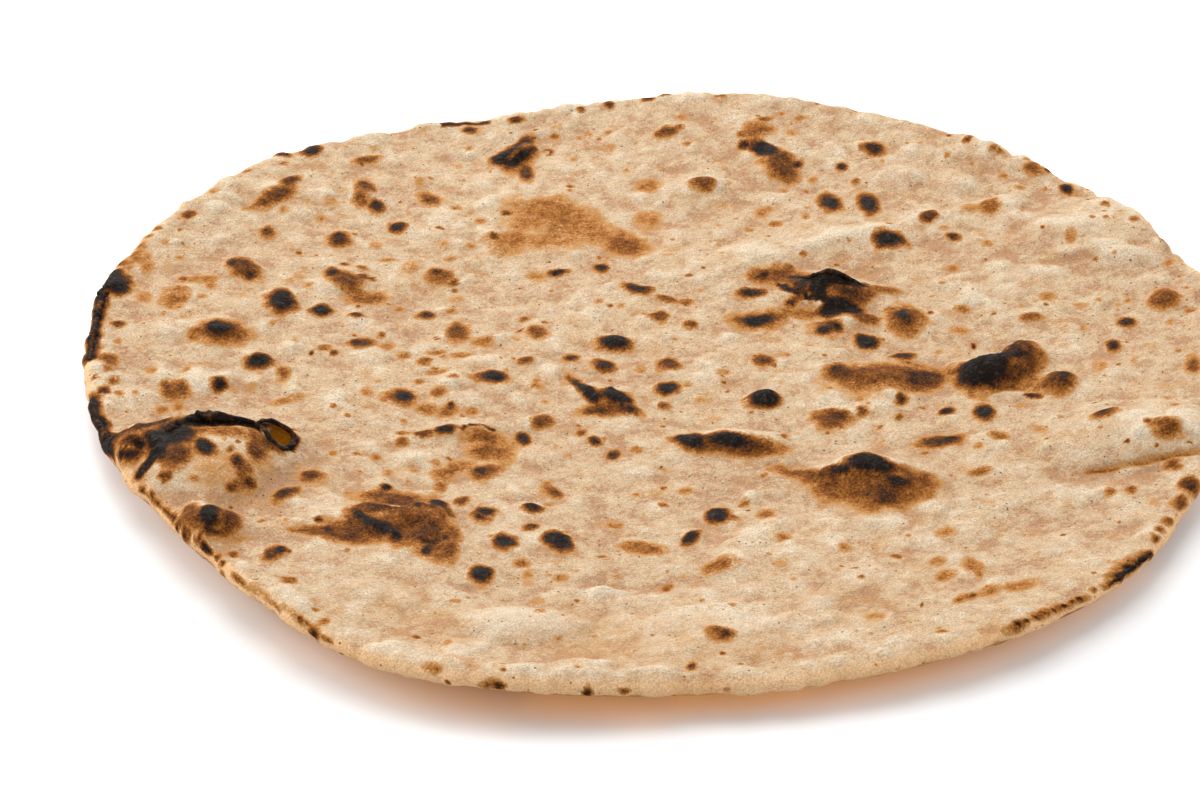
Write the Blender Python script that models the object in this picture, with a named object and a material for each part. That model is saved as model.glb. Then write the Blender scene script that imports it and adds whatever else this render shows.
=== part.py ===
"""Tandoori roti: one thin round flatbread, baked on the wall of a clay oven.

The bread is one solid sheet of dough, about 240 mm across and 2.6 mm thick.
Its middle lies flat on the floor and its rim stands 4 to 11 mm above it, as
the sheet curled while it baked. The upper side carries the blisters that
puffed up in the heat: low pale swellings, charred domes with steep sides,
folds and creases, and at the left rim one large bubble that has burst along
its top, with an open mouth at its right end. The rim is a rounded bead.

The origin is the middle of the bread at floor height. +X is the right side,
+Y the far side and +Z is up. Lengths below are in millimetres, angles in
degrees, and the finished mesh is in metres.
"""

import bmesh
import bpy
import numpy as np

MM = 0.001

# Driving dimensions of the sheet
RADIUS = 119.5
SHEET = 2.6
BEAD = 3.4
BEAD_START = 0.93
BEAD_END = 0.985
FLOOR_PRESS = 0.5
FLAT_SPOT = 14.0

# Outline: waves of the radius round the rim (waves per turn, swing, angle of a peak)
OUTLINE = (
    (2, 0.3, 8),
    (3, 1.9, 22),
    (4, 1.0, -27),
    (5, 0.9, 22),
    (6, 1.4, 9),
    (7, 0.5, -14),
    (8, 0.4, -11),
    (9, 0.6, 5),
)

# Curl: how high the rim stands, and how steeply the sheet climbs towards it
RIM_LIFT = 7.1
RIM_WAVES = ((1, 1.4, -128), (2, 1.0, 36), (3, 0.5, 36), (4, 0.7, -25), (5, 0.5, 7))
CURL = 2.6

# Slow waves of the whole sheet (swing, wavelength, direction, phase)
SWAYS = ((0.45, 88, 20, 40), (0.35, 64, 78, 150), (0.30, 47, 131, 265))

# Blisters and domes of the upper side (x, y, length, width, turn, height)
BLISTERS = {
    "great cone": (42, -40, 34, 22, -4, 3.2),
    "great cone tip": (41, -38, 14, 9, -5, 2.6),
    "black dome": (71, 0, 19, 15, 24, 4.0),
    "black dome shoulder": (78, 6, 12, 11, 0, 2.4),
    "black dome foot": (83, -6, 10, 9, 0, 1.8),
    "black fold": (39, 34, 30, 17, -12, 3.2),
    "black fold peak": (38, 36, 13, 9, -10, 2.4),
    "black fold foot": (41, 23, 10, 8, 0, 1.9),
    "brown plateau": (47, 0, 29, 13, -4, 1.6),
    "brown knob": (54, 22, 11, 11, 0, 2.0),
    "black button": (22, -9, 9, 8, 0, 2.2),
    "oval button": (-9, 14, 10, 7, 0, 1.4),
    "twin ridge": (-12, -8, 20, 8, -38, 2.3),
    "brown ridge": (16, -26, 24, 10, -3, 2.7),
    "middle ridge": (-41, -21, 18, 8, 14, 1.9),
    "oval cone": (-87, -67, 15, 14, 0, 4.2),
    "toasted flat": (-57, -59, 32, 15, 6, 1.5),
    "toasted shoulder": (-45, -59, 12, 20, 0, 1.8),
    "right bubble": (98, 50, 44, 30, -38, 3.4),
    "right fold": (97, -30, 46, 24, 6, 3.6),
    "far bubble 1": (55, 81, 12, 10, 0, 1.2),
    "far bubble 2": (68, 76, 14, 11, -20, 1.3),
    "far bubble 3": (80, 68, 9, 9, 0, 1.0),
    "far swelling": (11, 78, 24, 16, 0, 1.5),
    "torn blister": (27, 88, 15, 19, 12, 2.2),
    "torn blister head": (23, 101, 12, 13, 0, 1.4),
    "front bubble 1": (-27, -97, 38, 17, 4, 1.8),
    "front bubble 2": (9, -102, 38, 22, -3, 1.5),
    "front button": (-8, -88, 9, 8, 0, 1.1),
    "front dome": (14, -69, 15, 16, 0, 1.2),
    "left button 1": (-89, 38, 11, 10, -20, 1.2),
    "left button 2": (-93, 12, 13, 12, 0, 1.5),
    "left button 3": (-80, 26, 9, 9, 0, 1.2),
    "left button 4": (-84, 2, 7, 7, 0, 1.0),
    "left button 5": (-67, 37, 12, 11, -20, 1.2),
    "left button 6": (-63, 72, 9, 14, 20, 1.2),
    "left button 7": (-85, 70, 14, 10, 35, 1.2),
    "right button": (109, 23, 10, 11, 0, 1.4),
}

# Pits where a blister tore open or sank (x, y, length, width, turn, depth)
PITS = {
    "torn crater": (-32, 91, 10, 9, 30, 1.5),
    "torn blister slit": (25, 92, 10, 4, -25, 1.4),
    "behind the great cone": (30, -34, 16, 6, 12, 0.6),
    "left of the middle ridge": (-53, -29, 14, 9, 0, 0.6),
    "front hollow": (-2, -79, 34, 11, 0, 0.7),
    "right hollow": (70, -62, 36, 16, 20, 0.6),
    "far hollow": (-22, 66, 34, 18, 0, 0.6),
}

# Folds and creases (start x, y, end x, y, bow, near width, far width, height)
FOLDS = {
    "long ridge": (4, 38, 82, 67, 3, 9, 8, 1.3),
    "bubble crease": (70, 44, 111, 46, 2, 2.5, 2.5, -0.9),
    "right fold crest": (76, -26, 114, -25, 4, 5, 4, 1.0),
    "right fold crease": (76, -41, 112, -37, -2, 2.5, 2.5, -1.0),
    "crater flap": (-38, 88, -26, 97, 0, 2, 2.5, 1.6),
    "pale arc": (2, 79, 21, 78, 5, 2, 3, 0.7),
    "front arc": (-10, -99, 27, -95, 6, 3, 3, 0.6),
    "front lip": (-33, -116, 26, -117, 1, 3, 4, 0.7),
    "left crease": (-96, -12, -50, -28, 3, 4, 4, -0.5),
}

# The burst bubble at the left rim
BURST_X = -90.0
BURST_Y = -33.5
BURST_LENGTH = 19.0
BURST_NEAR = 27.0
BURST_FAR = 3.6
BURST_BOW = 3.6
BURST_BOW_START = -87.0
BURST_BOW_END = -77.0
BURST_HEIGHT = 7.2
BURST_LIP_WIDTH = 1.6
BURST_LIP_HEIGHT = 0.9
SLIT = (-86.5, -35.4, 20, 3.8, 7, 1.8)
MOUTH = (-77.6, -33.0, 8.0, 5.0, -20, 4.6)
CORNER_LOBE = (-106, -38, 12, 12, 0, 2.4)
CORNER_VALLEY = (-102.5, -46, 4.5, 18, 8, 2.2)
LOWER_LAYER = (-153, 9.0, 2.2)

# Small blisters and the uneven grain of both sides
SEED = 11
SMALL_COUNT = 260
SMALL_SIZE = (4.0, 10.0)
SMALL_HEIGHT = (0.2, 0.7)
UNDER_COUNT = 150
UNDER_HEIGHT = (0.2, 0.8)
KNOB_COUNT = 64
KNOB_SIZE = (3.0, 6.5)
KNOB_HEIGHT = (0.3, 1.1)
KNOB_RING = 0.975

# Mesh
CELLS = 220
RIM_STEPS = 8
TRIANGLES = 10800

CRUST_COLOUR = (0.70, 0.53, 0.37, 1.0)
CRUST_ROUGHNESS = 0.85


def clear_scene():
    """Remove whatever objects and meshes the file holds."""
    for old in list(bpy.data.objects):
        bpy.data.objects.remove(old, do_unlink=True)
    for old in list(bpy.data.meshes):
        bpy.data.meshes.remove(old)


def smooth_step(value, low, high):
    """0 below low, 1 above high, and an even S between them."""
    t = np.clip((value - low) / (high - low), 0.0, 1.0)
    return t * t * (3.0 - 2.0 * t)


def waves(angle, terms):
    """Sum of cosines round the rim, each (waves per turn, swing, angle of a peak)."""
    total = np.zeros_like(angle)
    for count, swing, peak in terms:
        total += swing * np.cos(count * (angle - np.radians(peak)))
    return total


def rim_radius(angle):
    """Radius of the outline at an angle."""
    return RADIUS + waves(angle, OUTLINE)


def middle_height(x, y):
    """Height of the sheet's mid surface, without blisters."""
    angle = np.arctan2(y, x)
    share = np.hypot(x, y) / rim_radius(angle)
    height = (RIM_LIFT + waves(angle, RIM_WAVES)) * share ** CURL
    for swing, length, direction, phase in SWAYS:
        turn = np.radians(direction)
        along = x * np.cos(turn) + y * np.sin(turn)
        calm = smooth_step(np.hypot(x, y), FLAT_SPOT, 3.0 * FLAT_SPOT)
        height += calm * swing * np.sin(2.0 * np.pi * along / length + np.radians(phase))
    return height + 0.5 * SHEET - FLOOR_PRESS


def local_distance(x, y, centre_x, centre_y, length, width, turn):
    """Squared distance from an ellipse's centre, 1 on its edge."""
    angle = np.radians(turn)
    along = (x - centre_x) * np.cos(angle) + (y - centre_y) * np.sin(angle)
    across = (y - centre_y) * np.cos(angle) - (x - centre_x) * np.sin(angle)
    return (2.0 * along / length) ** 2 + (2.0 * across / width) ** 2


def dome(x, y, blister, power=1.5):
    """Height of one rounded blister with a soft foot."""
    *place, height = blister
    inside = np.clip(1.0 - local_distance(x, y, *place), 0.0, None)
    return height * inside ** power


def fold(x, y, line):
    """Height of a bowed ridge, or of a crease where the height is negative."""
    start_x, start_y, end_x, end_y, bow, near, far, height = line
    length = np.hypot(end_x - start_x, end_y - start_y)
    step_x = (end_x - start_x) / length
    step_y = (end_y - start_y) / length
    from_x = x - 0.5 * (start_x + end_x)
    from_y = y - 0.5 * (start_y + end_y)
    along = 2.0 * (from_x * step_x + from_y * step_y) / length
    taper = np.clip(1.0 - along ** 2, 0.0, None)
    across = from_y * step_x - from_x * step_y - bow * taper
    width = np.where(across < 0.0, near, far)
    return height * taper ** 0.7 * np.exp(-(across / width) ** 2)


def burst_bubble(x, y):
    """The large bubble: a long near flank, a steep far wall and a torn lip."""
    beside = (x - BURST_X) / BURST_LENGTH
    bow = BURST_BOW * smooth_step(x, BURST_BOW_START, BURST_BOW_END)
    behind = y - BURST_Y - bow
    flank = np.where(behind < 0.0, behind / BURST_NEAR, behind / BURST_FAR)
    inside = np.clip(1.0 - beside ** 2 - flank ** 2, 0.0, None)
    height = BURST_HEIGHT * inside ** 0.75
    lip = BURST_LIP_HEIGHT * np.exp(-(behind / BURST_LIP_WIDTH) ** 2)
    height += lip * np.clip(1.0 - beside ** 2, 0.0, None) ** 0.5
    height -= dome(x, y, SLIT, 1.0)
    height -= dome(x, y, MOUTH, 0.8)
    height += dome(x, y, CORNER_LOBE)
    height -= dome(x, y, CORNER_VALLEY, 1.0)
    return np.maximum(height, -0.3)


def scatter(rng, count, reach, sizes, heights):
    """Seeded blisters spread over the disc, in the order they are drawn."""
    spots = []
    for _ in range(count):
        angle = rng.uniform(0.0, 2.0 * np.pi)
        distance = reach * np.sqrt(rng.uniform())
        length = rng.uniform(*sizes)
        width = length * rng.uniform(0.6, 1.0)
        turn = rng.uniform(0.0, 180.0)
        height = rng.uniform(*heights)
        place = (distance * np.cos(angle), distance * np.sin(angle))
        spots.append((*place, length, width, turn, height))
    return spots


def rim_knobs(rng):
    """Seeded knobs along the bead of the rim."""
    knobs = []
    for number in range(KNOB_COUNT):
        angle = 2.0 * np.pi * (number + rng.uniform(-0.4, 0.4)) / KNOB_COUNT
        distance = KNOB_RING * rim_radius(np.array(angle))
        length = rng.uniform(*KNOB_SIZE)
        width = length * rng.uniform(0.7, 1.0)
        height = rng.uniform(*KNOB_HEIGHT)
        place = (distance * np.cos(angle), distance * np.sin(angle))
        knobs.append((*place, length, width, np.degrees(angle) + 90.0, height))
    return knobs


def upper_relief(x, y, small):
    """Height that the upper side adds to the plain sheet."""
    height = burst_bubble(x, y)
    for blister in BLISTERS.values():
        height += dome(x, y, blister)
    for pit in PITS.values():
        height -= dome(x, y, pit)
    for line in FOLDS.values():
        height += fold(x, y, line)
    for blister in small:
        height += dome(x, y, blister)
    return height


def under_relief(x, y, small):
    """Height by which dimples lift the underside, none at the flat spot."""
    height = np.zeros_like(x)
    for blister in small:
        height += dome(x, y, blister)
    return height * smooth_step(np.hypot(x, y), FLAT_SPOT, 2.0 * FLAT_SPOT)


def lower_layer(angle):
    """How far the lower skin reaches out below the upper one beside the burst."""
    centre, spread, reach = LOWER_LAYER
    off = np.degrees(np.angle(np.exp(1j * (angle - np.radians(centre)))))
    return reach * np.clip(1.0 - (off / spread) ** 2, 0.0, None)


def disc_from_square(a, b):
    """Concentric map of a square with half side 1 to a disc with radius 1."""
    wide = np.abs(a) >= np.abs(b)
    safe_a = np.where(a == 0.0, 1.0, a)
    safe_b = np.where(b == 0.0, 1.0, b)
    share = np.where(wide, a, b)
    quarter = 0.25 * np.pi
    angle = np.where(wide, quarter * b / safe_a, 2.0 * quarter - quarter * a / safe_b)
    return share * np.cos(angle), share * np.sin(angle)


def slab_mesh():
    """A cube whose faces are divided into a fine grid."""
    grid = bmesh.new()
    bmesh.ops.create_cube(grid, size=2.0)
    for axis, cuts in ((0, CELLS - 1), (1, CELLS - 1), (2, RIM_STEPS - 1)):
        edges = []
        for edge in grid.edges:
            run = edge.verts[0].co - edge.verts[1].co
            if abs(run[axis]) > 1e-6:
                edges.append(edge)
        bmesh.ops.subdivide_edges(grid, edges=edges, cuts=cuts, use_grid_fill=True)
    mesh = bpy.data.meshes.new("roti")
    grid.to_mesh(mesh)
    grid.free()
    return mesh


def shape_bread(mesh):
    """Move the slab's points to their places in the bread."""
    rng = np.random.default_rng(SEED)
    small = scatter(rng, SMALL_COUNT, 0.95 * RADIUS, SMALL_SIZE, SMALL_HEIGHT)
    under = scatter(rng, UNDER_COUNT, 0.92 * RADIUS, SMALL_SIZE, UNDER_HEIGHT)
    small += rim_knobs(rng)

    points = np.empty(3 * len(mesh.vertices))
    mesh.vertices.foreach_get("co", points)
    a, b, c = points.reshape(-1, 3).T
    unit_x, unit_y = disc_from_square(a, b)
    share = np.hypot(unit_x, unit_y)
    angle = np.arctan2(unit_y, unit_x)

    # The edge is half round: level stays put, the bead swells towards the rim
    thickness = SHEET + (BEAD - SHEET) * smooth_step(share, BEAD_START, BEAD_END)
    level = np.sin(0.5 * np.pi * c)
    inset = 0.5 * BEAD * (1.0 - np.cos(0.5 * np.pi * c))
    reach = rim_radius(angle) - inset - lower_layer(angle) * smooth_step(c, -0.2, 0.2)
    x = share * reach * np.cos(angle)
    y = share * reach * np.sin(angle)

    middle = middle_height(x, y)
    top = middle + 0.5 * thickness + upper_relief(x, y, small)
    bottom = middle - 0.5 * thickness + under_relief(x, y, under)
    bottom = np.maximum(bottom, 0.0)
    top = np.maximum(top, bottom + 0.6 * SHEET)
    z = bottom + (top - bottom) * 0.5 * (1.0 + level)

    placed = np.column_stack((x, y, z)) * MM
    mesh.vertices.foreach_set("co", placed.ravel())
    mesh.update()


def settle(mesh):
    """Centre the bread's box on the origin and stand its underside on the floor."""
    points = np.empty(3 * len(mesh.vertices))
    mesh.vertices.foreach_get("co", points)
    points = points.reshape(-1, 3)
    low = points.min(axis=0)
    high = points.max(axis=0)
    shift = np.array((0.5 * (low[0] + high[0]), 0.5 * (low[1] + high[1]), low[2]))
    mesh.vertices.foreach_set("co", (points - shift).ravel())
    mesh.update()


def crust_material():
    """Baked wheat crust."""
    material = bpy.data.materials.new("baked_crust")
    material.use_nodes = True
    shader = material.node_tree.nodes["Principled BSDF"]
    shader.inputs["Base Color"].default_value = CRUST_COLOUR
    shader.inputs["Roughness"].default_value = CRUST_ROUGHNESS
    shader.inputs["Metallic"].default_value = 0.0
    return material


def make_roti():
    """The bread as one object, thinned to a moderate number of triangles."""
    mesh = slab_mesh()
    shape_bread(mesh)
    settle(mesh)
    mesh.materials.append(crust_material())
    mesh.shade_smooth()
    roti = bpy.data.objects.new("roti", mesh)
    corners = sum(len(face.vertices) - 2 for face in mesh.polygons)
    thin = roti.modifiers.new("thin_out", "DECIMATE")
    thin.ratio = TRIANGLES / corners
    thin.use_collapse_triangulate = True
    return roti


def main():
    clear_scene()
    group = bpy.data.collections.new("tandoori_roti")
    bpy.context.scene.collection.children.link(group)
    group.objects.link(make_roti())


main()
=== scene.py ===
"""Looks of a tandoori roti: its fine surface, its scorched crust, the floor, the light and the camera.

The bread's form comes from the CAD solid in the frame. This script reads that surface, lays a much
finer mesh over it, adds the small blisters and the grain of the crust, and works out how strongly each
point was scorched. Lengths are in millimetres until a mesh is made. Places of single marks are read
from the photograph, as pixels of its 1200 x 800 frame, and are laid on the bread through the camera.
"""

import math

import bpy
import numpy as np
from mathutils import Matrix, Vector
from mathutils.bvhtree import BVHTree


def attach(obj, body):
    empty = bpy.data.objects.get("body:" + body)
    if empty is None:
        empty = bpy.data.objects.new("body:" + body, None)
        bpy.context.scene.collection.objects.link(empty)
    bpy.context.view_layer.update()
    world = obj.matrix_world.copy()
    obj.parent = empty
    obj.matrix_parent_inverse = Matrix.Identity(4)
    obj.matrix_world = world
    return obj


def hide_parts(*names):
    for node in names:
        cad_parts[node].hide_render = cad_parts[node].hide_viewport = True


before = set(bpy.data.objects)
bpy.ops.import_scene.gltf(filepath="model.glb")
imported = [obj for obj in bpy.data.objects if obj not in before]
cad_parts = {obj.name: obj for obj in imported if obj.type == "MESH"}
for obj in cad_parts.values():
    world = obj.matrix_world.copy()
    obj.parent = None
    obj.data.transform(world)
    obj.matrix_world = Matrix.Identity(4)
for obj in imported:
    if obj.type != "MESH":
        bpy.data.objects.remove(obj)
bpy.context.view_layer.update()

MM = 0.001

# Camera: the photograph's frame in pixels, and where the camera stands, in millimetres and degrees
PHOTO_WIDTH = 1200
PHOTO_HEIGHT = 800
CAMERA_DISTANCE = 800.0
CAMERA_ELEVATION = 32.0
CAMERA_LENS = 117.0
CAMERA_SENSOR = 36.0
CAMERA_AIM = (-12.8, -16.6, 7.5)
CAMERA_CLIP = (0.05, 20.0)

# The fine mesh: cells across and along the upper side, how many of them one cell below spans, the rows
# round the rim, and how far the rim's rows step in towards the middle above and below
TOP_CELLS = (330, 240)
UNDER_SHARE = 3
UNDER_CELLS = (TOP_CELLS[0] // UNDER_SHARE, TOP_CELLS[1] // UNDER_SHARE)
RIM_ROWS = 8
RIM_UPPER = 2.8
RIM_LOWER = 1.4

# Flat map on the unit square: middle and half side of the upper side and of the underside, and the
# rim's width round the upper side
TOP_PATCH = (0.39, 0.355)
UNDER_PATCH = (0.805, 0.185)
RIM_PATCH = 0.025

# The skin turns by half a turn round the rim, from straight up to straight down. Below the first angle
# it has the underside's marks and relief, and below the second it is in the underside's patch.
UNDER_TURN = -0.3 * math.pi
UNDER_PATCH_TURN = -0.49 * math.pi

# Reading the CAD surface: an even raster of heights, smoothed over the solid's facets. Beyond the rim
# the raster repeats the height that it finds EDGE_PULL inside the outline. The outline's radius is
# sought within RIM_BETWEEN.
RASTER_STEP = 0.8
RASTER_REACH = 126.0
RASTER_BLUR = 1.1
CLEAR_HEIGHT = 90.0
EDGE_PULL = 2.3
RIM_READINGS = 720
RIM_HALVINGS = 12
RIM_BETWEEN = (100.8, 130.0)
RIM_BLUR = 1.6
UP = Vector((0.0, 0.0, 1.0))
DOWN = Vector((0.0, 0.0, -1.0))

# Swellings are painted paler and hollows painted darker, as painted highlight and painted shade: height
# above the surroundings, averaged over this width, and its share
SWELL_BLUR = 6.0
SWELL_PAINTED_LIGHT_SHARE = 0.5

# Fine relief as noise fields (wavelength, swing), and the first seed of each
UPPER_WAVES = ((11.0, 0.22), (5.5, 0.16), (2.6, 0.07))
UPPER_SEED = 10
UNDER_WAVES = ((12.0, 0.20), (6.0, 0.14))
UNDER_SEED = 20
UNDER_RELIEF = 0.6
CHAR_WAVES = ((2.4, 0.22), (1.7, 0.10))
CHAR_SEED = 30
EDGE_WAVES = ((5.0, 0.20), (2.2, 0.16))
EDGE_SEED = 40
UNDER_HEAT_WAVES = ((26.0, 0.5), (11.0, 0.35), (5.0, 0.2))
UNDER_HEAT_SEED = 50
RIM_WAVES = ((9.0, 0.42), (4.2, 0.36), (2.2, 0.20))
RIM_SEED = 60
FORM_WAVES = ((6.0, 0.16),)
FORM_SEED = 70
NOISE_GAIN = 1.7

# Bands where a kind of relief or colour sets in: share of the radius, heat, height above the floor in
# millimetres, and share of the way round the rim
RIM_BAND = (0.96, 1.0)
CHAR_BAND = (0.75, 1.0)
LIFT_BAND = (0.05, 0.8)
EDGE_BAND = (0.05, 0.40)

# Small random bubbles: how many, their length, height and width for each length, and their roundness
BUBBLE_SEED = 5
BUBBLE_COUNT = 760
BUBBLE_SIZE = (3.0, 9.0)
BUBBLE_HEIGHT = (0.18, 0.66)
BUBBLE_WIDTH = (0.55, 1.0)
BUBBLE_SPREAD = 0.98
BUBBLE_ROUND = 0.8

# How the crust faces under a mark: crust this near and this alike counts. It faces the camera at least
# this much, and is turned to it by this step until it does.
FACING_REACH = 3.0
FACING_ALIKE = 0.3
FACING_LEAST = 0.4
FACING_STEP = 0.3

# How a mark's heat falls off: full inside its middle, a quarter at its stated edge, nothing further
# out. MARK_DEPTH is how deep a mark reaches below the crust that it lies on, and MARK_REACH bounds the
# points that it can touch, as a multiple of its half width and millimetres beyond that.
HEAT_PEAK = 1.6
HEAT_SLOPE = 1.35
HEAT_BLEND = 4.0
MARK_DEPTH = 4.0
MARK_REACH = (8.0, 6.0)
LINE_WOBBLE = 1.4
COOL_EDGE = 1.5

# Small hot marks are puffed up: least heat, largest half width, and rise and reach for each half width
PUFF_HEAT = 0.5
PUFF_WIDEST = 4.5
PUFF_RISE = 0.16
PUFF_REACH = 0.8

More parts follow.
